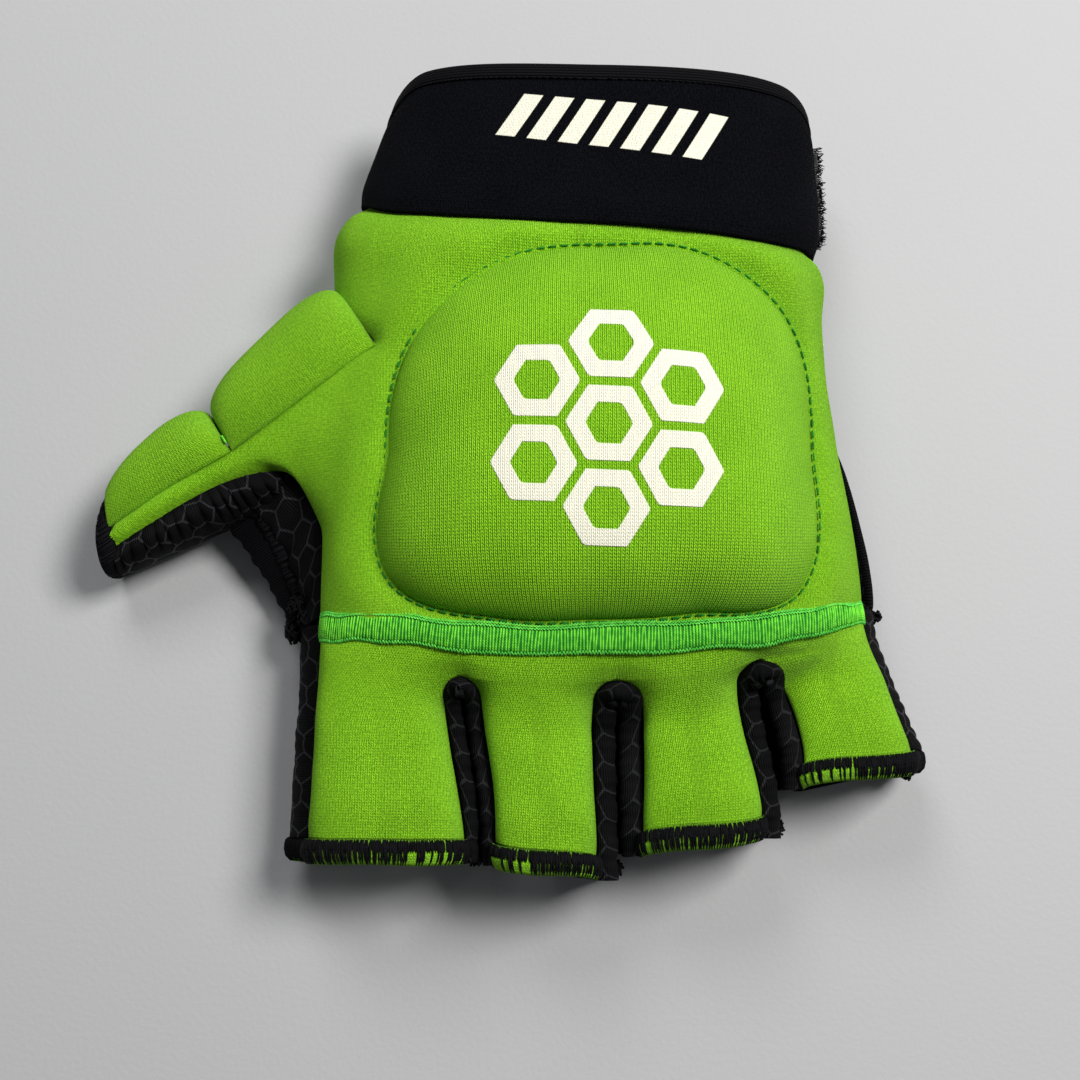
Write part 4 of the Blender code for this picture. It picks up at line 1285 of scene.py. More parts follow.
@dataclass
class Thumb:
    """Two outer pads, the palm fabric and the mouth of the thumb."""

    rows: tuple[ThumbRow, ...] = (
        ThumbRow(-0.249, 0.237, 0.76, 0.155, 0.180),
        ThumbRow(-0.392, 0.136, 0.66, 0.126, 0.135),
        ThumbRow(-0.525, 0.043, 0.57, 0.100, 0.108),
        ThumbRow(-0.650, -0.026, 0.50, 0.078, 0.090),
        ThumbRow(-0.778, -0.108, 0.43, 0.058, 0.066),
    )
    side: float = 0.24
    top_end: float = 0.985
    pad_height: float = 4.9 * MM
    pad_back: float = 0.8 * MM
    palm_wall: float = 1.6 * 0.7 * MM
    mouth_band: float = 4.2 * MM
    mouth_wall: float = 3.0 * 0.6 * MM
    slant: float = 0.45
    crotch_edge: Rows = (
        (-0.786, -0.166, 0.36),
        (-0.650, -0.088, 0.42),
        (-0.540, -0.036, 0.45),
        (-0.438, -0.014, 0.46),
        (-0.372, -0.060, 0.47),
        (-0.349, -0.145, 0.468),
    )

    def read(self, s: Array) -> tuple[Array, Array, Array, Array, Array]:
        """Ridge place, outward direction, top height and both reaches at share s."""
        at = list(np.linspace(0.0, 1.0, len(self.rows)))
        ridge_x, ridge_y, top, outer, inner = (through(s, at, column) for column in zip(*self.rows))
        ridge = np.stack([ridge_x, ridge_y], axis=-1) * FORM.width
        first, last = self.rows[1], self.rows[-1]
        run = unit(np.array([last.ridge_x - first.ridge_x, last.ridge_y - first.ridge_y]))
        out = np.array([run[1], -run[0]])
        return ridge, out, top * FORM.height, outer * FORM.width, inner * FORM.width

    def tube(self, turn: Array, s: Array, lift: Array | float = 0.0) -> Array:
        """Point on the thumb: a superellipse about a line below the ridge.

        Toward the tip the outer side lies further back than the inner one.

        Args:
            turn: 0 at the ridge, 1 outermost, -1 innermost, 2 below.
            s: Share along the thumb.
            lift: How far outside the thumb the point lies.

        Returns:
            The points.
        """
        s = np.asarray(s, float)
        ridge, out, top, outer, inner = self.read(s)
        side = self.side * FORM.height
        angle = np.asarray(turn, float) * np.pi / 2
        reach = np.where(np.sin(angle) > 0, outer, inner) + lift
        n = reach * power(np.sin(angle), FORM.roundness)
        rise = power(np.cos(angle), FORM.roundness)
        z = side + np.where(rise > 0, top - side + lift, side) * rise
        back = self.slant * n * smoothstep(0.60, 1.0, s)
        x = ridge[..., 0] + out[0] * n + out[1] * back
        y = ridge[..., 1] + out[1] * n - out[0] * back
        return np.stack(np.broadcast_arrays(x, y, z), axis=-1)

    def edge(self, count: int) -> Array:
        """Places along the green panel's inner edge, from the thumb's tip."""
        return smooth_path(FORM.placed(self.crotch_edge), count)[0]

    def inner_turn(self, s: float) -> float:
        """How far round the thumb the green panel's inner edge lies."""
        edge = self.edge(120)
        ridge, out, _top, _outer, inner = self.read(np.array(s))
        run = np.array([-out[1], out[0]])
        along = edge[:, :2] @ run
        order = np.argsort(along)
        n = np.interp(ridge @ run, along[order], (edge[:, :2] @ out)[order]) - ridge @ out
        q = np.clip(-n / inner, 0.05, 0.95)
        return float(-np.arcsin(q ** (1 / FORM.roundness)) * 2 / np.pi)

    def pad(self, s0: float, s1: float, seed: int) -> Surface:
        """Puffed pad on the thumb's outer side.

        A superellipse swell over the pad's own two directions, pinched to the thumb along
        its edge, with a softer outer corner.

        Args:
            s0: Share where it starts.
            s1: Share where it ends.
            seed: Picks its unevenness.

        Returns:
            The closed surface.
        """
        rows, columns = 60, 56
        u = np.sin(np.linspace(-1, 1, rows) * np.pi / 2)
        w = np.sin(np.linspace(-1, 1, columns) * np.pi / 2)
        ss, tt = np.meshgrid((s0 + s1) / 2 + (s1 - s0) / 2 * u, 0.69 + 0.72 * w, indexing="ij")
        swell = (1 - np.abs(u[:, None]) ** 3.6) ** 0.50 * (1 - np.abs(w[None]) ** 2.6) ** 0.62
        low = self.tube(tt, ss, -self.pad_back)
        lift = 0.15 * MM + (self.pad_height - 0.15 * MM) * swell
        top = self.tube(tt, ss, lift)
        uneven = unevenness(top.reshape(-1, 3), 0.02, seed).reshape(rows, columns)
        top = no_lower(top + (uneven * 0.25 * MM * swell)[..., None], 0.35 * MM)
        low = no_lower(low, 0.3 * MM)
        flat = arc_places(top)
        upper = Surface.grid(top, flat)
        lower = Surface.grid(low, flat).flipped()
        ends = (low[0], top[0]), (top[-1], low[-1])
        sides = (top[:, 0], low[:, 0]), (low[:, -1], top[:, -1])
        rim = [Surface.grid(np.stack(pair)) for pair in (*ends, *sides)]
        return Surface.joined([upper, lower, *rim], SEAM_WELD)

    def palm(self) -> Surface:
        """Black fabric from below the green edge round under the thumb, with soft puckers."""
        s = np.linspace(0.30, 1.0, 240)
        share = np.linspace(0.0, 1.0, 56)
        swell = np.sin(np.clip(share * 1.6, 0, 1) * np.pi) * 1.3 * MM
        tuck = -1.3 * MM * (1 - smoothstep(0.0, 0.08, share))
        lift = swell + tuck + 0.5 * MM * (1 - share)
        rows = []
        for value in s:
            start = self.inner_turn(value) + 0.05
            turn = start + (-2.44 - start) * share
            rows.append(self.tube(turn, np.full(len(share), value), lift))
        made = Surface.grid(np.array(rows)).facing([0.0, 0.0, -1.0])
        bead = np.abs(np.sin(s * 84.0 + 0.6 * np.sin(s * 31.0))) ** 0.7 - 0.6
        near_edge = np.tile(bell(share - 0.14, 0.10), len(s))
        puckers = np.repeat(bead, len(share)) * 1.15 * MM * near_edge
        return made.moved(puckers + unevenness(made.points, 0.012, 5) * 0.2 * MM).above(0.2 * MM)

    def mouth_ring(self, turn: Array, s: float, lift: float, out: float) -> Array:
        """Places round the thumb's mouth, moved out past its end."""
        around = np.where(turn > 2, turn - 4, turn)
        ring = self.tube(around, np.full(len(turn), s), lift)
        inner = 1.0 - 0.6 * smoothstep(-0.2, 0.9, np.sin(around * np.pi / 2))
        ring = ring + np.array([-0.82, -0.57, 0.0]) * (out * inner)[:, None]
        return no_lower(ring, FABRIC_FLOOR)

    def build(self, palette: Palette) -> None:
        """Builds the thumb's pieces."""
        pads = (("thumb_pad_inner", 0.0, 0.512, 11), ("thumb_pad_outer", 0.518, 1.02, 12))
        for name, s0, s1, seed in pads:
            pad = self.pad(s0, s1, seed)
            make_piece(name, pad, palette, "green_foam_knit", (name,))
        wall = Wall(self.palm_wall, "black_slot_fabric")
        make_cloth("thumb_palm", self.palm(), palette, "black_hexagon_fabric", wall)
        turn = np.linspace(0.0, 4.0, 120, endpoint=False)
        steps = np.linspace(0.0, 1.0, BAND_ROWS)
        grid = np.array([
            self.mouth_ring(turn, 1.0, (0.1 + 0.5 * bow) * MM, -1.0 * MM + step * self.mouth_band)
            for step, bow in zip(steps, half_circle(steps))
        ])
        band = outward(Surface.grid(grid, None, True))
        wall = Wall(self.mouth_wall, "black_slot_fabric", 1)
        make_cloth("thumb_mouth", band, palette, "black_slot_fabric", wall)
        wraps = wrap_threads(grid, WRAP_PITCH, 0.30 * MM, 21)
        make_piece("thumb_mouth_threads", wraps, palette, "black_overlock_thread")
        tick = self.tube(np.array([0.02, 0.10]), np.array([0.515, 0.515]), 1.0 * MM)
        knot = threads(tick[:1], tick[1:], UP[None], 0.3 * MM, 0.26 * MM)
        make_piece("thumb_thread_tick", knot, palette, "green_overlock_thread")


def puffed(edge: Array, reach: float, rise: float, sink: float) -> Array:
    """Rise of foam away from a seam: it starts sunk in and fills out over a reach."""
    return rise * (1 - np.exp(-((edge / reach) ** 1.5))) - sink


def outward(tube: Surface) -> Surface:
    """A tube's surface with its faces away from its middle."""
    middle = tube.points.mean(0)
    away = ((tube.points - middle) * tube.normals()).sum()
    return tube if away > 0 else tube.flipped()


def wrap_threads(
    grid: Array,
    pitch: float,
    radius: float,
    seed: int,
    skip: Callable[[Array], Array] | None = None,
) -> Surface:
    """Overlock threads round a band, side by side.

    Each crosses the band from its first row over its bowed middle to its last row, with a
    small slant and a small difference in width and height.

    Args:
        grid: The band, rows across it and columns round it.
        pitch: Distance between threads.
        radius: Radius of a thread.
        seed: Picks the differences.
        skip: Which places round the band, from 0 to 1, have no thread.

    Returns:
        The threads.
    """
    ring = grid[len(grid) // 2]
    closed = np.concatenate([ring, ring[:1]])
    run = lengths_along(closed)
    count = int(run[-1] / pitch)
    pick = np.random.default_rng(seed)
    at = (np.arange(count) + pick.uniform(-0.25, 0.25, count)) / count
    if skip is not None:
        at = at[~skip(at)]
        count = len(at)
    columns = np.interp(at * run[-1], run, np.arange(len(closed)))
    slant = pick.uniform(-0.45, 0.55, count)
    over = np.array([0.02, 0.25, 0.5, 0.75, 0.98])

    def read(t: float, shift: Array) -> Array:
        """Places on the band at share t across it."""
        row = t * (len(grid) - 1)
        low = int(min(row, len(grid) - 2))
        both = np.concatenate([grid, grid[:, :1]], axis=1)
        line = both[low] * (1 - (row - low)) + both[low + 1] * (row - low)
        return read_columns((columns + shift) % len(ring), np.arange(len(closed)), line)

    middle = grid.reshape(-1, 3).mean(0)
    axis = unit(grid[-1].mean(0) - grid[0].mean(0))
    path = np.stack([read(t, slant * (t - 0.5)) for t in over], axis=1)
    away = path - middle
    away = unit(away - (away @ axis)[..., None] * axis)
    path = path + away * (radius * pick.uniform(0.1, 0.9, count))[:, None, None]
    run3 = unit(np.gradient(path, axis=1))
    side = unit(np.cross(away, run3))
    up = np.cross(run3, side)
    sides = 6
    turn = full_turn(sides)[:, None]
    thick = np.ones((1, len(over))) * (radius * pick.uniform(0.75, 1.15, count))[:, None]
    thick[:, 0], thick[:, -1] = radius * 0.35, radius * 0.35
    round_ring = side[:, :, None] * np.cos(turn) * 0.95 + up[:, :, None] * np.sin(turn)
    rings = path[:, :, None] + round_ring * thick[:, :, None, None]
    first, last = (np.repeat(end[:, :, None], sides, axis=2) for end in (path[:, :1], path[:, -1:]))
    rings = np.concatenate([first, rings, last], axis=1)
    r, c, quads = many_tubes(count, rings.shape[1], sides)
    around = np.stack([c, c, c + 1, c + 1], axis=-1) / sides
    along = np.stack([r, r + 1, r + 1, r], axis=-1) * 0.8
    flat = np.tile(np.stack([around, along], axis=-1).reshape(-1, 4, 2), (count, 1, 1))
    return Surface.joined([Surface(rings.reshape(-1, 3), quads, flat).flipped()]).above(0.0)


def thread_knots(places: Rows, seed: int, count: int = 70) -> Surface:
    """Tangles of overlock thread where two bands meet.

    Each is a few dozen short bowed threads between two places on a small ellipsoid.

    Args:
        places: Middle and half sizes of each tangle, in millimetres.
        seed: Picks the threads.
        count: Threads in each tangle.

    Returns:
        The threads.
    """
    pick = np.random.default_rng(seed)
    parts = []
    for place in places:
        middle, size = np.array(place[:3]) * MM, np.array(place[3:]) * MM
        first = unit(pick.normal(size=(count, 3)))
        turn = unit(np.cross(first, pick.normal(size=(count, 3))))
        last = unit(first * 0.1 + turn)
        first, last = (way * pick.uniform(0.35, 1.15, (count, 1)) for way in (first, last))
        ends = middle + first * size, middle + last * size
        bow = 0.16 * float(size.mean())
        parts.append(threads(*ends, first + last, bow, 0.25 * MM, 5))
    return Surface.joined(parts).above(0.3 * MM)


@dataclass
class BackOfHand:
    """Surrounding panel with the thumb's top, and the padded dome in it."""

    thumb: Thumb
    back_left: float = -1.32
    back_right: float = 1.12
    shoulder: float = -0.56
    below_crotch: float = -0.93
    foam: float = 3.0 * MM
    tuck: float = 2.0 * MM
    knuckle_tuck: float = 0.5 * MM
    dome_centre: tuple[float, float] = (0.190, 0.020)
    dome_height: float = 10.8 * MM
    stitch_half: float = 0.80 * MM
    stitch_depth: float = 0.80 * MM
    dome_outline: Table = (
        (0, 0.415),
        (35, 0.450),
        (62, 0.425),
        (90, 0.385),
        (118, 0.400),
        (145, 0.410),
        (180, 0.400),
        (212, 0.470),
        (240, 0.382),
        (270, 0.335),
        (298, 0.366),
        (325, 0.470),
    )
    folds: tuple[tuple[Table, float, float], ...] = (
        (((-0.405, 0.330), (-0.330, 0.285), (-0.250, 0.232)), -1.0, 2.2),
        (((-0.250, 0.232), (-0.160, 0.150), (-0.130, 0.050)), -0.7, 5.0),
        (((-0.330, 0.470), (-0.200, 0.380), (-0.160, 0.300)), 0.6, 6.0),
        (((0.560, 0.200), (0.600, 0.020), (0.640, -0.150)), -0.8, 3.0),
    )

    def rows(self) -> tuple[Array, Array, Array]:
        """Shares of the way from cuff seam to knuckle seam, cut at the thumb."""
        y0 = FORM.line(FORM.cuff_seam, self.shoulder) + self.tuck
        y1 = FORM.line(FORM.knuckle, self.shoulder) - self.knuckle_tuck
        start = (y0 - self.thumb.rows[0].ridge_y * FORM.width) / (y0 - y1)
        end = (y0 - self.thumb.crotch_edge[-1][1] * FORM.width) / (y0 - y1)
        return np.linspace(0.0, start, 26), np.linspace(start, end, 44), np.linspace(end, 1.0, 22)

    def block(self, rows: Array, across: Array) -> Array:
        """Grid on the form between the cuff seam and the knuckle seam."""
        a = np.broadcast_to(across, (len(rows), len(across)))
        top = FORM.line(FORM.cuff_seam, a) + self.tuck
        low = FORM.line(FORM.knuckle, a) - self.knuckle_tuck
        return FORM.arch(a, top + (low - top) * rows[:, None])

    def side_wall(self, rows: Array, across: Array) -> Array:
        """Left side wall between the cuff seam and the crease beside the thumb."""
        a = np.broadcast_to(across, (len(rows), len(across)))
        top = FORM.line(FORM.cuff_seam, a) + self.tuck
        return FORM.arch(a, top + (FORM.line(FORM.pinch, a) - top) * (rows[:, None] / rows[-1]))

    def thumb_top(self, rows: Array, columns: int, count: int) -> Array:
        """Patch from the shoulder column out along the thumb.

        Straight lines from the ridge to the inner edge, eased near the shoulder so that
        they meet the back, with a soft swell between.

        Args:
            rows: The shoulder column's rows.
            columns: Columns of the patch below it.
            count: Columns along the thumb.

        Returns:
            The grid, one row a place along the thumb.
        """
        across = np.linspace(self.below_crotch, self.shoulder, columns)
        below = self.block(rows[-1:], across)[0]
        shoulder = self.block(rows, np.array([self.shoulder]))[:, 0]
        s = np.linspace(0.0, self.thumb.top_end, count)
        v = np.linspace(0.0, 1.0, len(rows))
        ridge = self.thumb.tube(np.zeros(count), s)
        places = 200
        edge = self.thumb.edge(places)[::-1]
        edge = edge + (below[0] - edge[0]) * np.linspace(1.0, 0.0, places)[:, None] ** 2
        spread = np.linspace(0.0, (places - 1.0) * self.thumb.top_end, count - columns + 1)
        rest = read_columns(spread, np.arange(places), edge)
        low = np.concatenate([below[::-1], rest[1:]])
        flat = ridge[:, None] * (1 - v)[None, :, None] + low[:, None] * v[None, :, None]
        flat += (shoulder - flat[0])[None] * ((1 - s) ** 2)[:, None, None]
        swell = np.sin(np.pi * v)[None] * np.sin(np.pi * s * 0.5)[:, None] ** 2
        flat[..., 2] += 0.055 * FORM.height * swell
        return flat

    def dome_radius(self, angle: Array) -> Array:
        """Reach of the dome's outline in each direction."""
        angles, radii = zip(*self.dome_outline)
        angles = [a - 360 for a in angles[-3:]] + list(angles) + [a + 360 for a in angles[:3]]
        radii = radii[-3:] + radii + radii[:3]
        return through(np.degrees(angle) % 360, angles, radii) * FORM.width

    def dome_line(self, count: int, grow: float = 0.0) -> Array:
        """Places round the dome's outline, in plan."""
        angle = np.linspace(0.0, 2 * np.pi, count)
        radius = self.dome_radius(angle) + grow
        x = self.dome_centre[0] * FORM.width + radius * np.cos(angle)
        y = self.dome_centre[1] * FORM.width + radius * np.sin(angle)
        return np.stack([x, y, 0 * x], axis=1)

    def surround(self) -> Surface:
        """The green panel round the dome, with its dents and puffed edges.

        The form is moved along its normals: in at the open edge and along the dome's
        groove, and out between them.
        """
        above, thumb, below = self.rows()
        rows = np.concatenate([above, thumb[1:], below[1:]])
        columns = 26
        wide = np.linspace(self.shoulder, self.back_right, 110)
        patches = [
            self.block(rows, wide),
            self.side_wall(above, np.linspace(self.back_left, self.shoulder, 30)),
            self.block(below, np.linspace(self.below_crotch, self.shoulder, columns)),
            np.flip(self.thumb_top(thumb, columns, 72), axis=1),
        ]
        grids = [Surface.grid(p, self.unrolled(p)).facing(UP) for p in patches]
        made = Surface.joined(grids, PATCH_WELD).relaxed(6)
        x, y, z = made.points.T
        groove = line_distance(made.points, self.dome_line(160))
        cuff = np.maximum(FORM.line(FORM.cuff_seam, FORM.across_of(x, y)) - y, 0.0)
        clear = 1 - 0.9 * bell(groove, 4.5 * MM)
        amount = 0.9 * MM * (1 - np.exp(-made.border_distance() / (4 * MM))) - 0.35 * MM
        amount += 1.1 * MM * clear * bell(cuff - 7 * MM, 5 * MM) - 1.9 * MM * bell(cuff, 2.0 * MM)
        amount -= 1.5 * MM * bell(groove, 2.2 * MM) * (z > 0.55 * FORM.height)
        amount += 0.7 * MM * bell(groove - 6 * MM, 4 * MM)
        amount -= np.where(self.under_dome(made.points), 1.0 * MM, 0.0)
        amount += unevenness(made.points, 0.030, 3) * 0.30 * MM
        amount += unevenness(made.points, 0.011, 4) * 0.08 * MM
        amount += self.creases(made.points)
        return made.moved(amount)

    def under_dome(self, points: Array) -> Array:
        """Which points of the panel the dome covers."""
        away = points[:, :2] - np.array(self.dome_centre) * FORM.width
        angle = np.arctan2(away[:, 1], away[:, 0]) % (2 * np.pi)
        near = np.linalg.norm(away, axis=1) < self.dome_radius(angle) - 0.5 * MM
        return near & (points[:, 2] > 0.6 * FORM.height)

    def unrolled(self, points: Array) -> Array:
        """Flat place in millimetres: across with the drop beside the back added, and along."""
        crest = 0.8 * FORM.height
        drop = (points[..., 2] - crest) * np.tanh((points[..., 0] - 15 * MM) / (30 * MM))
        return np.stack([points[..., 0] - drop, points[..., 1]], axis=-1) / MM

    def creases(self, points: Array) -> Array:
        """Height of the folds beside the thumb and below the cuff: soft valleys and a ridge."""
        total = np.zeros(len(points))
        for line, height, width in self.folds:
            gap = line_distance(points, np.array(line) * FORM.width)
            total += height * MM * bell(gap, width * MM)
        return total

    def dome(self) -> Surface:
        """The padded dome: a fan of rings from its outline up to its crown.

        Its height over the form is a superellipse of the share of the way out, fuller and
        steeper toward the knuckles than toward the cuff.
        """
        angle = np.linspace(0.0, 2 * np.pi, 220, endpoint=False)
        rim, crown = 1 - 0.30 * np.linspace(0, 1, 34) ** 1.7, np.linspace(0.68, 0.03, 40)
        reach = np.concatenate([rim, crown])
        radius = self.dome_radius(angle)
        x = self.dome_centre[0] * FORM.width + reach[:, None] * radius * np.cos(angle)
        y = self.dome_centre[1] * FORM.width + reach[:, None] * radius * np.sin(angle)
        down = 0.5 - 0.5 * np.sin(angle)
        fullness = 2.3 + 2.6 * down**1.5
        swell = (1 - reach[:, None] ** fullness[None, :]) ** (0.78 - 0.14 * down)
        height = FORM.height_over(x, y) - 1.3 * MM + (self.dome_height + 0.9 * MM) * swell
        points = np.stack([x, y, height], axis=-1)
        uneven = unevenness(points.reshape(-1, 3), 0.035, 8).reshape(height.shape)
        points[..., 2] += uneven * 0.3 * MM * swell
        steps = np.linalg.norm(np.diff(points[::-1], axis=0), axis=2)
        run = np.concatenate([np.zeros((1, len(angle))), np.cumsum(steps, axis=0)])[::-1]
        run = run + 0.03 * radius
        flat = np.stack([run * np.cos(angle), run * np.sin(angle)], axis=-1) / MM
        flat = np.concatenate([flat, flat[:, :1]], axis=1)
        crown = points[-1].mean(0)
        points = np.concatenate([points, np.broadcast_to(crown, (1, len(angle), 3))])
        flat = np.concatenate([flat, flat[-1:] * 0.0])
        return Surface.joined([Surface.grid(points, flat, True)]).facing(UP)

    def dome_stitches(self) -> Surface:
        """Short stitches that follow the dome's outline in its groove."""
        line = self.dome_line(900, 0.55 * MM)
        run = lengths_along(line)
        count = int(run[-1] / (2.3 * MM))
        centre = (np.arange(count) + 0.5) / count * run[-1]
        ends = []
        for shift in (-self.stitch_half, self.stitch_half):
            x, y = read_columns(centre + shift, run, line[:, :2]).T
            ends.append(np.stack([x, y, FORM.height_over(x, y) - self.stitch_depth], axis=1))
        return threads(*ends, np.tile(UP, (count, 1)), 0.20 * MM, 0.20 * MM)

    def build(self, palette: Palette) -> None:
        """Builds the surround, the dome and its stitches."""
        wall = Wall(self.foam, "green_lining")
        made = self.surround()
        make_cloth("back_panel", made, palette, "green_foam_knit", wall)
        wall = Wall(2.0 * MM, "green_lining")
        make_cloth("knuckle_pad", self.dome(), palette, "green_dome_knit", wall)
        made = self.dome_stitches()
        make_piece("dome_stitches", made, palette, "dark_green_thread")


@dataclass
class KnuckleSeam:
    """Raised overlock band with ladder stitches and two chained edges."""

    band: float = 5.2 * MM
    rise: float = 1.1 * MM
    pitch: float = 0.60 * MM
    first: float = -0.90
    last: float = 0.96

    def place(self, across: Array, row: Array | float, lift: Array | float) -> Array:
        """Point on the band: row is -1 at the knuckle edge and 1 at the hand edge."""
        wave = 0.32 * MM * np.sin(across * 11.0 + 0.6) + 0.14 * MM * np.sin(across * 31.0 + 1.0)
        narrow = 1.0 - 0.30 * smoothstep(0.45, 0.90, across) + 0.06 * np.sin(across * 23.0)
        y = FORM.line(FORM.knuckle, across) + wave + np.asarray(row) * self.band / 2 * narrow
        point = FORM.arch(across, y)
        raised = self.rise * np.sqrt(np.clip(1 - np.asarray(row) ** 2 * 0.9, 0.0, 1.0))
        point[..., 2] += raised + lift + 0.12 * MM * np.sin(across * 37.0)
        return point

    def evenly_across(self, pitch: float, shift: Array | float = 0.0) -> Array:
        """Places across the band, one pitch apart along its middle, each moved by its shift."""
        across = np.linspace(self.first, self.last, 900)
        middle = self.place(across, 0.0, 0.0)
        run = lengths_along(middle)
        return np.interp(np.arange(pitch, run[-1] - 2 * pitch, pitch) + shift, run, across)

    def build(self, palette: Palette) -> None:
        """Builds the band, its ladder and its chains."""
        across = np.linspace(self.first, self.last, 300)
        row = np.linspace(-1, 1, 13)
        a, r = np.meshgrid(across, row, indexing="ij")
        top = Surface.grid(self.place(a, r, -0.15 * MM)).facing(UP)
        wall = Wall(1.3 * MM, "green_lining")
        make_cloth("knuckle_seam", top, palette, "dark_green_thread", wall)
        pick = np.random.default_rng(31)
        count = len(self.evenly_across(self.pitch))
        near = pick.uniform(-0.12, 0.12, count) * self.pitch
        lift = np.tile(UP, (count, 1))
        lean = self.pitch * pick.uniform(0.1, 0.6, count)
        ends = [
            self.place(self.evenly_across(self.pitch, shift), np.full(count, edge), -0.10 * MM)
            for shift, edge in ((near - lean, -0.90), (near + lean, 0.80))
        ]
        made = threads(*ends, lift, 0.45 * MM, 0.185 * MM, 7)
        thread = "green_overlock_thread"
        make_piece("knuckle_ladder_threads", made, palette, thread)
        chains = []
        for edge, tall, wide in ((-1.0, 0.05, 0.13), (0.86, 0.12, 0.10), (1.08, 0.0, 0.10)):
            first = self.evenly_across(self.pitch, near)
            second = self.evenly_across(self.pitch, near + self.pitch * 0.5)
            knee = self.place(second, edge + wide * pick.uniform(0.7, 1.2, count), tall * MM)
            foot = self.place(first, edge - wide * pick.uniform(0.7, 1.2, count), tall * MM)
            chains.append(threads(foot, knee, lift, 0.14 * MM, 0.13 * MM, 5))
            chains.append(threads(knee[:-1], foot[1:], lift[1:], 0.20 * MM, 0.13 * MM, 5))
        made = Surface.joined(chains)
        make_piece("knuckle_chain_threads", made, palette, "green_chain_thread")


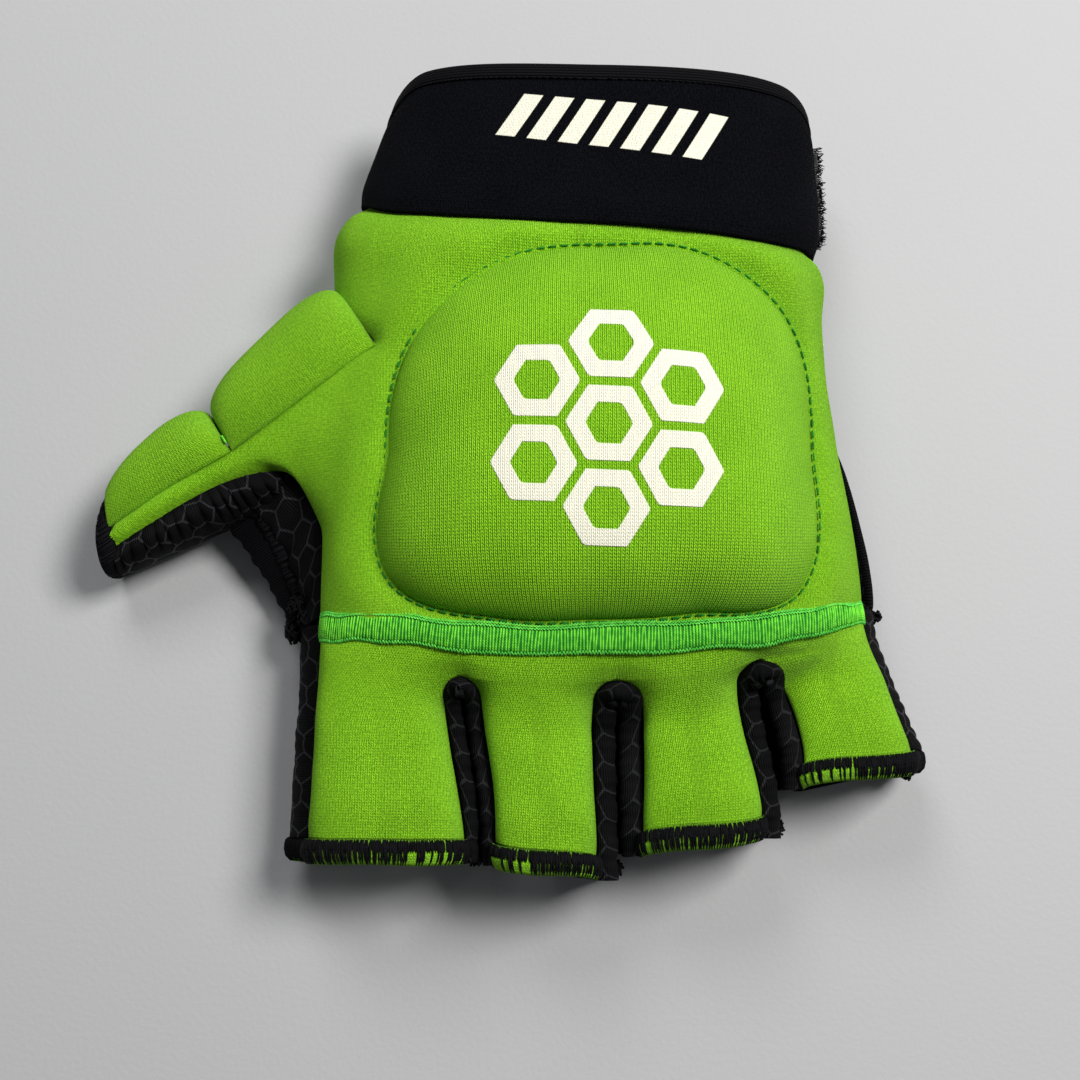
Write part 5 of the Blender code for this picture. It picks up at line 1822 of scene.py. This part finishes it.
@dataclass
class Fingers:
    """Finger backs, the lining between them, their mouths and the palm fabric below."""

    fingers: tuple[Finger, ...] = (
        Finger("index", -0.365, -0.768, -0.060, -0.770, 0.66),
        Finger("middle", -0.008, -0.775, 0.190, -0.803, 0.66),
        Finger("ring", 0.272, -0.758, 0.502, -0.725, 0.64),
        Finger("little", 0.580, -0.632, 0.800, -0.600, 0.58),
    )
    slots: tuple[Slot, ...] = (
        Slot(-0.069, -0.424, 0.036),
        Slot(0.227, -0.443, 0.044),
        Slot(0.500, -0.387, 0.043),
    )
    slope_reach: float = 3.0 * MM
    slot_start: float = 0.21
    slot_round: float = 0.09
    slot_edge_height: float = 0.52
    outer_edge_height: float = 0.44
    outer_knuckle: dict[int, float] = field(default_factory=lambda: {-1: -0.348, 1: 0.706})
    outer_across: float = 0.93
    mouth_band: float = 4.6 * MM
    mouth_gap: float = 0.4 * MM
    mouth_wall: float = 1.9 * MM
    foam: float = 3.0 * MM
    palm_wall: float = 1.2 * MM
    slot_wall: float = 0.8 * MM
    side_bulge: dict[int, float] = field(default_factory=lambda: {-1: 5.2 * MM, 1: 3.6 * MM})
    lower_corner: float = 1.8 * MM
    knots: Rows = (
        (-4.6, -75.2, 14.6, 1.9, 2.0, 1.9),
        (22.4, -77.4, 14.2, 1.7, 1.8, 1.8),
        (24.8, -72.2, 14.2, 1.6, 1.8, 1.8),
        (53.2, -69.8, 13.6, 2.2, 2.1, 2.0),
        (57.2, -61.2, 14.0, 1.5, 1.6, 1.6),
        (-39.0, -74.0, 8.0, 1.6, 1.8, 3.2),
        (81.0, -58.9, 8.0, 1.5, 1.8, 3.0),
        (75.2, -28.2, 9.0, 2.0, 1.3, 2.0),
        (72.2, -27.0, 11.0, 1.8, 1.2, 1.8),
        (-40.6, -26.6, 13.0, 2.0, 2.2, 2.0),
        (-41.6, -31.2, 10.5, 1.7, 2.6, 2.2),
        (-38.6, -29.2, 14.5, 1.6, 2.4, 1.8),
    )
    bare: Rows = (
        (0.66, 0.88, 0.35),
        (0.03, 0.40, 0.62),
        (0.05, 0.20, 0.3),
        (0.02, 0.42, 0.55),
    )

    def rows(self) -> Array:
        """Shares of a finger's length, close together round each slot's end."""
        before = np.linspace(0.0, self.slot_start, 16)
        turn = np.linspace(0.0, np.pi / 2, 13)[1:]
        curve = self.slot_start + self.slot_round * (1 - np.cos(turn))
        after = np.linspace(self.slot_start + self.slot_round, 1.0, 50)[1:]
        return np.concatenate([before, curve, after])

    def edges(self, f: Array) -> list[list[tuple[Array, Array, float, float, bool]]]:
        """Each finger's left and right edge at share f.

        Args:
            f: Shares of the finger's length.

        Returns:
            For each finger and side: the edge's line in plan, the slot's half width, where
            the edge ends, its height, and whether it is an outer one.
        """
        share = np.clip((f - self.slot_start) / self.slot_round, 0.0, 1.0)
        opening = np.sqrt(np.clip(1 - (1 - share) ** 2, 0.0, 1.0))
        found = []
        for i, finger in enumerate(self.fingers):
            pair = []
            for side, name in ((-1, "left"), (1, "right")):
                end_x = getattr(finger, name)
                end_y = getattr(finger, name + "_end") * FORM.width
                end_y = end_y + self.mouth_band + self.mouth_gap
                outer = (i == 0 and side < 0) or (i == 3 and side > 0)
                gap = np.zeros(len(f))
                if outer:
                    start_x = self.outer_knuckle[side]
                    x = (start_x + (end_x - start_x) * f) * FORM.width
                    height = self.outer_edge_height
                else:
                    slot = self.slots[i - 1 if side < 0 else i]
                    other = self.fingers[i - 1] if side < 0 else self.fingers[i + 1]
                    mate = other.right if side < 0 else other.left
                    sway = smoothstep(self.slot_start, 1.0, f)
                    middle = slot.across + ((end_x + mate) / 2 - slot.across) * sway
                    taper = 1.0 + (abs(end_x - mate) / 2 / slot.half - 1.0) * f
                    x = middle * FORM.width
                    gap = slot.half * opening * taper * FORM.width
                    height = self.slot_edge_height
                pair.append((x, gap, end_y, height * FORM.height, outer))
            found.append(pair)
        return found

    def slot_across(self, slot: int) -> float:
        """How far across the form a slot starts."""
        start = self.slots[slot]
        return float(FORM.across_of(start.across * FORM.width, start.along * FORM.width))

    def back(self, index: int, f: Array, columns: int) -> Array:
        """Back of one finger: the wide arch at the knuckles turning into its own arch."""
        finger = self.fingers[index]
        (xl, gap_l, end_l, zl, outer_l), (xr, gap_r, end_r, zr, outer_r) = self.edges(f)[index]
        turn = np.linspace(-1.0, 1.0, columns)
        q = power(np.sin(turn * np.pi / 2), FORM.roundness)
        x = (xl + xr)[:, None] / 2 + (xr - xl)[:, None] / 2 * q
        share = (1 + turn) / 2
        a0 = -self.outer_across if outer_l else self.slot_across(index - 1)
        a1 = self.outer_across if outer_r else self.slot_across(index)
        a = np.broadcast_to(a0 + (a1 - a0) * share, x.shape)
        start = FORM.line(FORM.knuckle, a) + 0.5 * MM
        y = start + (end_l + (end_r - end_l) * share - start) * f[:, None]
        low = zl + (zr - zl) * share
        bow = power(np.cos(turn * np.pi / 2), FORM.roundness)
        crest = finger.crest * FORM.height
        own = np.stack([x, y, low + (crest - low) * bow + 0 * x], axis=-1)
        blend = smoothstep(0.0, 0.50, f)[:, None, None]
        made = FORM.arch(a, y) * (1 - blend) + own * blend
        near = power(q, 1.6)
        made[..., 0] -= np.where(near > 0, gap_r[:, None] * near, gap_l[:, None] * near)
        return made

    def backs(self, columns: int) -> list[Array]:
        """Backs of all four fingers, joined edge to edge above the slots."""
        f = self.rows()
        tops = [self.back(i, f, columns) for i in range(4)]
        joined = f <= self.slot_start
        past = f - self.slot_start
        slow, quick = smoothstep(0.0, 0.45, past), smoothstep(0.0, 0.05, past)
        parting = np.stack([np.ones_like(f), slow, quick], axis=1)
        parting[joined] = 0.0
        q = power(np.sin(np.linspace(-1.0, 1.0, columns) * np.pi / 2), FORM.roundness)
        for i in range(3):
            shared = (tops[i][:, -1] + tops[i + 1][:, 0]) / 2
            for top, column, near in ((tops[i], -1, q), (tops[i + 1], 0, -q)):
                shift = (shared - top[:, column]) * (1 - parting)
                top += shift[:, None] * (np.maximum(near, 0.0) ** 2)[None, :, None]
                top[joined, column] = shared[joined]
                self.follow_slope(top, column, near, joined, past)
        return tops

    def follow_slope(
        self, top: Array, column: int, near: Array, joined: Array, past: Array
    ) -> None:
        """Lowers a slot's edge beside its top along the slope of the last joined row.

        Args:
            top: The finger's back, changed in place.
            column: The edge's column.
            near: How near each column is to the edge, from -1 to 1.
            joined: Which rows lie above the slot.
            past: How far past the slot's start each row is.
        """
        last = int(joined.sum()) - 1
        inner = -2 if column == -1 else 1
        step = top[last, column] - top[last, inner]
        slope = max(step[1] / abs(step[0]), 0.0)
        away = np.clip(np.abs(top[:, column, 0] - top[last, column, 0]), 0.0, self.slope_reach)
        drop = slope * away * (1 - smoothstep(0.05, 0.40, past)) * ~joined
        top[..., 1] -= drop[:, None] * (np.maximum(near, 0.0) ** 2)[None, :]

    def panel(self, tops: list[Array]) -> Surface:
        """The green finger backs, puffed between their seams."""
        parts = []
        for top in tops:
            flat = arc_places(top)
            flat[..., 0] += top[:, :, 0].mean() / MM
            parts.append(Surface.grid(top, flat))
        made = Surface.joined(parts, SEAM_WELD).facing(UP).relaxed(5)
        amount = puffed(made.border_distance(), 4.5 * MM, 1.3 * MM, 0.5 * MM)
        amount += unevenness(made.points, 0.026, 6) * 0.28 * MM
        amount += unevenness(made.points, 0.010, 7) * 0.08 * MM
        return made.moved(amount)

    def lining(self, tops: list[Array], slot: int) -> Surface:
        """Black roll round one slot.

        From each place on the green edge a half ellipse reaches over to the slot's middle,
        and from there the fabric falls to the floor, with small puckers along it.
        """
        f = self.rows()
        opened = f >= self.slot_start
        left, right = tops[slot][opened, -1], tops[slot + 1][opened, 0]
        beyond = np.array([0.0, -0.95 * self.mouth_band, -0.8 * MM])
        past = np.linspace(0.15, 1.0, 6)[:, None] * beyond
        ends = (left[-1] + past)[::-1], right[-1] + past
        edge = evenly(np.concatenate([ends[0], left[::-1], right[1:], ends[1]]), 260)
        run = unit(np.gradient(edge[:, :2], axis=0))
        out = np.stack([run[:, 1], -run[:, 0]], axis=1)
        wide = np.interp(edge[:, 1], (left + right)[::-1, 1] / 2, (right - left)[::-1, 0])
        crown = np.abs(run[:, 0]) ** 1.5
        room = np.clip(wide / 2 - 0.30 * MM, 0.6 * MM, 4.0 * MM)
        room = room * (1 - crown) + 3.1 * MM * crown
        place = np.arange(len(edge))
        puckers = np.sin(place * 0.85) * 0.07 * MM + np.sin(place * 0.31 + slot) * 0.16 * MM
        turn = np.linspace(0.0, np.pi, 22)
        down = np.linspace(0.0, 1.0, 20)[1:]
        away = np.concatenate([(1 - np.cos(turn)) / 2, 1.0 - 0.18 * np.sin(np.pi * down)])
        tall = np.concatenate([np.sin(turn), np.zeros(len(down))])
        fall = np.concatenate([np.zeros(len(turn)), down])
        away = -0.5 * MM + away[:, None] * (room + 0.5 * MM + puckers)[None]
        plan = edge[:, :2] + out * away[..., None]
        top = edge[:, 2] - 1.2 * MM + tall[:, None] * (2.1 * MM + puckers)
        height = top * (1 - fall[:, None]) + 0.6 * MM * fall[:, None]
        made = Surface.grid(np.concatenate([plan, height[..., None]], axis=-1))
        middle = np.array([edge[:, 0].mean(), edge[:, 1].mean(), 0.0])
        toward = ((middle - made.points) * made.normals())[:, :2].sum()
        return made if toward > 0 else made.flipped()

    def outer_wall(self, edge: Array, side: int) -> Array:
        """Palm fabric from the green edge down the outer side to the floor."""
        level = np.linspace(0.0, 1.0, 30)
        knots = [0.0, 0.10, 0.30, 0.55, 0.80, 0.95, 1.0]
        bulges = [0.0, 0.45, 0.90, 1.0, 0.75, 0.30, -0.10]
        bulge = through(level, knots, bulges) * self.side_bulge[side]
        bead = np.abs(np.sin(edge[:, 1] / (0.8 * MM))) ** 0.7 - 0.6
        bulge = bulge + bead[:, None] * 0.5 * MM * bell(level - 0.18, 0.16)
        x, y, z = edge.T[:, :, None]
        wall = x + side * (bulge - 0.3 * MM), y, (z + 0.3 * MM) * (1 - level)
        return np.stack(np.broadcast_arrays(*wall), axis=-1)

    def palm(self, tops: list[Array]) -> Surface:
        """Palm fabric under the fingers and up both outer sides."""
        parts = []
        for i, top in enumerate(tops):
            floor = top[:, ::4].copy()
            floor[:, -1] = top[:, -1]
            floor[..., 2] = FABRIC_FLOOR
            if i == 0:
                floor = np.concatenate([self.outer_wall(top[:, 0], -1), floor[:, 1:]], axis=1)
            if i == 3:
                wall = self.outer_wall(top[:, -1], 1)[:, ::-1]
                floor = np.concatenate([floor[:, :-1], wall], axis=1)
            parts.append(Surface.grid(floor))
        made = Surface.joined(parts, PANEL_WELD).facing(-UP)
        return made.moved(unevenness(made.points, 0.012, 9) * 0.25 * MM).above(1.2 * MM)

    def mouth_loop(self, index: int, top: Array) -> Array:
        """Closed loop of a finger's end: over the top, down, along the floor and up."""
        level = np.linspace(0.04, 0.97, 22)
        loops = []
        for point, side, outer in ((top[-1], 1, index == 3), (top[0], -1, index == 0)):
            swell = self.side_bulge[side] * 0.9 if outer else 0.0
            tuck = self.lower_corner * smoothstep(0.55, 1.0, level)
            x = point[0] + side * (np.sin(np.pi * level) * swell - tuck)
            drop = np.broadcast_arrays(x, point[1], point[2] * (1 - level))
            loops.append(np.stack(drop, axis=1))
        share = np.linspace(0.0, 1.0, 24)
        right, left = top[-1].copy(), top[0].copy()
        right[2], left[2] = 0.0, 0.0
        right[0] -= 1.6 * self.lower_corner
        left[0] += 1.6 * self.lower_corner
        floor = right + (left - right) * share[:, None]
        loop = np.concatenate([top, loops[0], floor, loops[1][::-1]])
        return evenly(np.concatenate([loop, loop[:1]]), 181)[:-1]

    def mouth(self, index: int, top: Array) -> Array:
        """Grid of a finger's overlocked band: the loop carried outwards with a bow."""
        ring = self.mouth_loop(index, top)
        steps = np.linspace(0.0, 1.0, BAND_ROWS)
        away = ring - ring.mean(axis=0)
        away[:, 1] = 0.0
        away = unit(away)
        uneven = unevenness(ring, 0.02, 40 + index) * 0.35 * MM
        rows = []
        for step, lift in zip(steps, half_circle(steps)):
            moved = ring + np.array([0.0, -1.0, 0.0]) * (step * self.mouth_band)
            moved[:, 1] += uneven * (0.3 + 0.7 * step)
            moved = moved + away * (0.2 + 0.60 * lift - 1.3 * max(step - 0.6, 0.0)) * MM
            rows.append(no_lower(moved, FABRIC_FLOOR))
        return np.array(rows)

    def build(self, palette: Palette) -> None:
        """Builds every finger's pieces."""
        tops = self.backs(37)
        wall = Wall(self.foam, "green_lining")
        made = self.panel(tops)
        make_cloth("finger_panel", made, palette, "green_foam_knit", wall)
        wall = Wall(self.palm_wall, "black_slot_fabric")
        made = self.palm(tops)
        make_cloth("finger_palm", made, palette, "black_hexagon_fabric", wall)
        wall = Wall(self.slot_wall, "black_slot_fabric")
        for slot in range(3):
            made = self.lining(tops, slot)
            name = f"fourchette_{slot + 1}"
            make_cloth(name, made, palette, "black_slot_fabric", wall)
        wall = Wall(self.mouth_wall, "black_slot_fabric", 1)
        for i, finger in enumerate(self.fingers):
            grid = self.mouth(i, tops[i][-1])
            name = f"finger_mouth_{finger.name}"
            band = outward(Surface.grid(grid, None, True))
            make_cloth(name, band, palette, "green_foam_knit", wall)
            low, high, share = self.bare[i]
            size = np.linalg.norm(np.diff(grid[4], axis=0), axis=1).sum()
            top = np.linalg.norm(np.diff(tops[i][-1], axis=0), axis=1).sum() / size
            pick = np.random.default_rng(70 + i)

            def bare(at: Array) -> Array:
                """Which threads are missing where the knit shows through."""
                inside = (at > low * top) & (at < high * top)
                return inside & (pick.uniform(size=len(at)) < share)

            wraps = [
                wrap_threads(grid, WRAP_PITCH, 0.27 * MM, 50 + i, bare),
                wrap_threads(grid[:5], 0.42 * MM, 0.27 * MM, 60 + i),
            ]
            made = Surface.joined(wraps)
            thread = "black_overlock_thread"
            make_piece(f"{name}_threads", made, palette, thread)
        knots = thread_knots(self.knots, 90)
        make_piece("overlock_knots", knots, palette, "black_overlock_thread")


@dataclass
class Web:
    """Gathered fabric between thumb and index finger, and the elastic round the palm."""

    top: Rows = (
        (-0.560, -0.046, 0.400),
        (-0.500, -0.020, 0.425),
        (-0.438, -0.010, 0.440),
        (-0.380, -0.054, 0.445),
        (-0.352, -0.145, 0.440),
        (-0.350, -0.290, 0.420),
    )
    low: Rows = (
        (-0.530, -0.050, 0.250),
        (-0.500, -0.062, 0.300),
        (-0.472, -0.085, 0.300),
        (-0.445, -0.128, 0.270),
        (-0.405, -0.205, 0.240),
        (-0.378, -0.300, 0.220),
    )
    fold: Rows = (
        (-0.520, -0.030, 0.240),
        (-0.492, -0.068, 0.300),
        (-0.462, -0.118, 0.270),
        (-0.425, -0.195, 0.235),
        (-0.392, -0.270, 0.205),
        (-0.372, -0.320, 0.150),
    )
    cord: Rows = (
        (0.590, 0.400, 0.22, 0.2, 0.0, 1.0),
        (0.622, 0.250, 0.23, 0.2, 0.0, 1.0),
        (0.650, 0.110, 0.23, 0.3, 0.0, 1.0),
        (0.685, 0.010, 0.22, 0.5, 0.0, 1.0),
        (0.710, -0.090, 0.20, 0.6, 0.1, 1.0),
        (0.728, -0.180, 0.19, 0.6, 0.1, 1.0),
        (0.735, -0.250, 0.16, 0.6, 0.2, 1.0),
        (0.715, -0.290, 0.10, 0.6, 0.6, 0.8),
        (0.640, -0.300, 0.055, 0.1, 1.0, 0.3),
        (0.520, -0.290, 0.040, 0.0, 1.0, 0.0),
        (0.300, -0.285, 0.040, 0.0, 1.0, 0.0),
        (0.050, -0.290, 0.040, 0.0, 1.0, 0.0),
        (-0.200, -0.320, 0.040, 0.0, 1.0, 0.0),
        (-0.330, -0.345, 0.060, 0.3, 1.0, 0.2),
        (-0.384, -0.318, 0.130, 0.8, 0.5, 0.4),
        (-0.414, -0.262, 0.178, 0.85, 0.35, 0.45),
        (-0.454, -0.190, 0.215, 0.85, 0.35, 0.45),
        (-0.498, -0.124, 0.245, 0.85, 0.35, 0.40),
        (-0.532, -0.075, 0.265, 0.85, 0.35, 0.30),
        (-0.545, -0.020, 0.255, 0.85, 0.35, 0.20),
    )
    width: float = 6.4 * MM
    thickness: float = 1.8 * MM

    def panel(self) -> Surface:
        """Fabric between the green edge and the elastic, gathered into soft folds."""
        count = 160
        top = smooth_path(FORM.placed(self.top), count)[0]
        low = smooth_path(FORM.placed(self.low), count)[0]
        way = unit(np.array([-1.0, -0.55, 0.25]))
        level = np.linspace(0.0, 1.0, 44)[:, None, None]
        web = top * (1 - level) ** 3 + (top + way * 3.5 * MM) * 3 * level * (1 - level) ** 2
        web = web + (low + way * 3.0 * MM) * 3 * level**2 * (1 - level) + low * level**3
        under = low + (np.array([7.0, 1.5, 0.0]) * MM) * level[1:18] * 2.4
        under[..., 2] = low[:, 2] * (1 - level[1:18, 0] * 2.0) + 0.6 * MM
        web = np.concatenate([web, under])
        share = np.linspace(0.0, 1.0, count)
        rows = np.clip(np.arange(len(web)) / 43.0, 0.0, 1.0)
        folds = np.sin(share * 34.0) * 0.6 + np.sin(share * 19.0 + 1.3) * 0.5
        made = Surface.grid(web).facing(UP)
        gathered = (np.sin(np.pi * rows) ** 0.8)[:, None] * folds[None] * 0.55 * MM
        uneven = unevenness(made.points, 0.006, 15) * 0.2 * MM
        return made.moved(gathered.ravel() + uneven)

    def fold_roll(self) -> Surface:
        """Narrow gathered fold between the fabric and the elastic."""
        path = smooth_path(FORM.placed(self.fold), 220)[0]
        at = np.arange(len(path))
        path = path + np.array([0.0, 0.0, 0.35 * MM]) * np.sin(at * 0.55)[:, None]
        wide = np.tile([0.9, 0.4, 0.2], (len(path), 1))
        return swept_oval(path, wide, 2.9 * MM + 0.4 * MM * np.sin(at * 0.9), 2.6 * MM, 20)

    def elastic(self) -> tuple[Surface, Array, Array]:
        """The elastic round the open palm, with its path and wide direction."""
        side = np.array([c[3:] for c in self.cord])
        path, wide = smooth_path(FORM.placed(self.cord), 760, side)
        share = np.linspace(0, 1, len(path))
        wave = np.sin(np.linspace(0, 400, len(path))) * 0.45
        wave = wave + np.sin(np.linspace(0, 171, len(path))) * 0.25
        wave = wave * MM * smoothstep(0.70, 0.80, share)
        return swept_oval(path, wide, self.width + wave, self.thickness, 22), path, wide

    def stitches(self, path: Array, wide: Array) -> Surface:
        """Two rows of stitches along the elastic."""
        wide, thin = path_frame(path, wide)
        at = np.arange(4, int(0.42 * len(path)), 9)
        rows = []
        for side in (-1, 1):
            for face in (-1, 1):
                line = path + wide * side * self.width * 0.27 + thin * face * self.thickness * 0.5
                ends = line[at], line[at + 6]
                rows.append(threads(*ends, thin[at] * face, 0.1 * MM, 0.16 * MM, 4))
        return Surface.joined(rows)

    def build(self, palette: Palette) -> None:
        """Builds the web, the elastic and its stitches."""
        wall = Wall(1.0 * MM, "black_slot_fabric")
        make_cloth("web_panel", self.panel(), palette, "black_hexagon_fabric", wall)
        make_piece("web_fold", self.fold_roll(), palette, "black_elastic")
        elastic, path, wide = self.elastic()
        make_cloth("palm_binding", elastic, palette, "black_elastic")
        made, thread = self.stitches(path, wide), "black_overlock_thread"
        make_piece("palm_binding_stitches", made, palette, thread)


@dataclass
class Cuff:
    """Wrist band, its bound top edge, the loop patch and the strap end."""

    reach: float = 1.62
    knit: float = 3.5 * MM
    binding: float = 4.0 * MM
    tab: float = 2.0 * MM
    tab_start: float = 1.50
    tab_low: float = 0.52
    tab_high: float = 0.72
    fibres: int = 2600
    fibre: float = 1.3

    def band(self) -> Surface:
        """The black band: the form between the cuff's seam and top, puffed a little."""
        across = np.linspace(-self.reach, self.reach, 240)
        rows = np.linspace(0.0, 1.0, 60)
        top = FORM.line(FORM.cuff_top, across) - self.binding * 0.6
        low = FORM.line(FORM.cuff_seam, across) - 0.4 * MM
        y = top[None] + (low - top)[None] * rows[:, None]
        made = Surface.grid(self.wrist(across, y, -0.3 * MM)).facing(UP)
        amount = puffed(made.border_distance(), 2.2 * MM, 1.0 * MM, 0.3 * MM)
        amount += unevenness(made.points, 0.035, 17) * 0.4 * MM
        return made.moved(amount).above(2.2 * MM)

    def wrist(self, across: Array, y: Array, inset: float) -> Array:
        """Places on the wrist's loop, whose underside lies on the strap end."""
        return FORM.arch(across, y, self.tab + 0.4 * MM, inset)

    def edge_binding(self) -> Surface:
        """The binding folded over the top edge: a flat loop carried round it."""
        across = np.linspace(-self.reach, self.reach, 300)
        y = FORM.line(FORM.cuff_top, across) - self.binding / 2
        path = self.wrist(across, y, 1.2 * MM)
        wide = unit(path - self.wrist(across, y - 1.0 * MM, 1.2 * MM))
        return swept_oval(path, wide, self.binding, 3.8 * MM, 24)

    def binding_stitches(self) -> Surface:
        """Dotted stitch line along the lower edge of the binding."""
        across = np.linspace(-self.reach + 0.02, self.reach - 0.02, 170)
        y = FORM.line(FORM.cuff_top, across) - self.binding + 0.6 * MM
        point = self.wrist(across, y, -0.55 * MM)
        away = unit(point - self.wrist(across, y, 3 * MM))
        half = unit(np.gradient(point, axis=0)) * 0.42 * MM
        return threads(point - half, point + half, away, 0.12 * MM, 0.17 * MM, 4)

    def patch(self) -> Surface:
        """Fuzzy loop patch on the right side, with a rough raised pile."""
        across = np.linspace(0.99, 1.42, 60)
        top = FORM.line(FORM.cuff_top, across) - self.binding - 1.0 * MM
        low = FORM.line(FORM.cuff_seam, across) + 4.0 * MM
        y = top[None] + (low - top)[None] * np.linspace(0.0, 1.0, 60)[:, None]
        points = FORM.arch(np.broadcast_to(across, y.shape), y, self.tab, -1.9 * MM)
        made = Surface.grid(points)
        away = made.points - np.array([0.02, 0.06, 0.016])
        made = made if (away * made.normals()).sum() > 0 else made.flipped()
        rough = unevenness(made.points, 0.0014, 22) * 0.25 * MM
        return made.moved(rough + unevenness(made.points, 0.004, 23) * 0.15 * MM)

    def pile(self) -> Surface:
        """Short curled fibres all over the loop patch."""
        patch = self.patch()
        pick = np.random.default_rng(27)
        at = pick.integers(0, len(patch.points), self.fibres)
        away = unit(patch.normals()[at] + pick.normal(size=(self.fibres, 3)) * 0.45)
        root = patch.points[at] + pick.uniform(-0.3, 0.3, (self.fibres, 3)) * MM
        lean = unit(np.cross(away, pick.normal(size=(self.fibres, 3))))
        reach = pick.uniform(0.5, 1.0, self.fibres)[:, None] * self.fibre * MM
        ends = root - away * 0.3 * MM, root + (away + 0.5 * lean) * reach
        return threads(*ends, lean, 0.3 * MM, 0.085 * MM, 3, 4)

    def strap(self) -> Surface:
        """Strap end that closes the cuff underneath."""
        across = np.linspace(self.tab_start, 4.0 - self.tab_start, 60)
        share = np.linspace(0.0, 1.0, 30)
        y = (self.tab_high + (self.tab_low - self.tab_high) * share) * FORM.width
        points = self.wrist(*np.meshgrid(across, y), -self.tab - 0.4 * MM)
        return Surface.grid(no_lower(points, 0.1 * MM)).facing(-UP)

    def build(self, palette: Palette) -> None:
        """Builds the cuff's pieces."""
        wall = Wall(self.knit, "black_slot_fabric")
        make_cloth("cuff_band", self.band(), palette, "black_wrist_knit", wall)
        binding = self.edge_binding()
        make_cloth("cuff_binding", binding, palette, "black_elastic_lengthwise")
        made, thread = self.binding_stitches(), "black_overlock_thread"
        make_piece("cuff_binding_stitches", made, palette, thread)
        wall = Wall(1.3 * MM, "black_loop_pile")
        make_cloth("closure_patch", self.patch(), palette, "black_loop_pile", wall)
        make_piece("closure_patch_pile", self.pile(), palette, thread)
        wall = Wall(1.6 * MM, "black_slot_fabric")
        make_cloth("closure_tab", self.strap(), palette, "black_wrist_knit", wall)


class Lamp(NamedTuple):
    """Square soft light: where it hangs, its size, its power in watts and its colour."""

    name: str
    place: tuple[float, float, float]
    size: float
    watts: float
    colour: tuple[float, float, float]


@dataclass
class Studio:
    """Pale table, soft light and the camera."""

    target: tuple[float, float, float] = (0.0091, -0.01414, 0.015)
    distance: float = 0.300
    elevation: float = 80.0
    table_half: float = 1.6
    lamps: tuple[Lamp, ...] = (
        Lamp("window_light", (0.45, 0.22, 0.75), 0.30, 8.6, (1.0, 0.995, 0.98)),
        Lamp("far_window", (-0.18, 0.55, 0.62), 0.36, 2.9, (0.99, 0.995, 1.0)),
    )
    sky: Colour = (0.86, 0.88, 0.93, 1.0)
    sky_strength: float = 0.11

    def floor(self, palette: Palette) -> None:
        """Wide flat table top under the glove."""
        half = self.table_half
        corner = [(-half, -half, 0.0), (half, -half, 0.0), (half, half, 0.0), (-half, half, 0.0)]
        mesh = bpy.data.meshes.new("table_top")
        mesh.from_pydata(corner, [], [(0, 1, 2, 3)])
        mesh.materials.append(FloorFinish("matte_table_top", 0.75).build(palette.effects))
        made = bpy.data.objects.new("table_top", mesh)
        bpy.context.scene.collection.objects.link(made)
        made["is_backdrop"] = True

    def camera(self) -> None:
        """Camera at the photograph's angle."""
        up = math.radians(self.elevation)
        data = bpy.data.cameras.new("camera")
        data.lens, data.sensor_width = 50.0, 36.0
        data.clip_start = 0.01
        made = bpy.data.objects.new("camera", data)
        x, y, z = self.target
        made.location = (x, y - self.distance * math.cos(up), z + self.distance * math.sin(up))
        made.rotation_euler = (math.pi / 2 - up, 0.0, 0.0)
        bpy.context.scene.collection.objects.link(made)
        bpy.context.scene.camera = made

    def light(self, lamp: Lamp) -> None:
        """Adds a lamp that faces the glove."""
        data = bpy.data.lights.new(lamp.name, "AREA")
        data.size, data.energy, data.color = lamp.size, lamp.watts, lamp.colour
        made = bpy.data.objects.new(lamp.name, data)
        made.location = lamp.place
        x, y, z = (a - b for a, b in zip(lamp.place, self.target))
        made.rotation_euler = (math.atan2(math.hypot(x, y), z), 0.0, math.atan2(x, -y))
        bpy.context.scene.collection.objects.link(made)

    def build(self, palette: Palette) -> None:
        """Builds the floor, the camera, the lights and the sky."""
        self.floor(palette)
        self.camera()
        bpy.context.scene.view_settings.view_transform = "Standard"
        for lamp in self.lamps:
            self.light(lamp)
        world = bpy.data.worlds.new("soft_room")
        world.use_nodes = True
        sky = world.node_tree.nodes["Background"]
        NodeWriter(world.node_tree).give(sky, {0: self.sky, 1: self.sky_strength})
        bpy.context.scene.world = world


def corners() -> list[list[float]]:
    """Lowest and highest corner of what is shown."""
    low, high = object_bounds()
    return [[float(v) for v in low], [float(v) for v in high]]


def main() -> None:
    """Builds the glove and its studio in order."""
    logging.basicConfig(level=logging.INFO, format="%(message)s")
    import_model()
    palette = Palette()
    Studio().build(palette)
    thumb = Thumb()
    for part in (BackOfHand(thumb), KnuckleSeam(), Fingers(), thumb, Web(), Cuff()):
        part.build(palette)


if __name__ == "__main__":
    main()
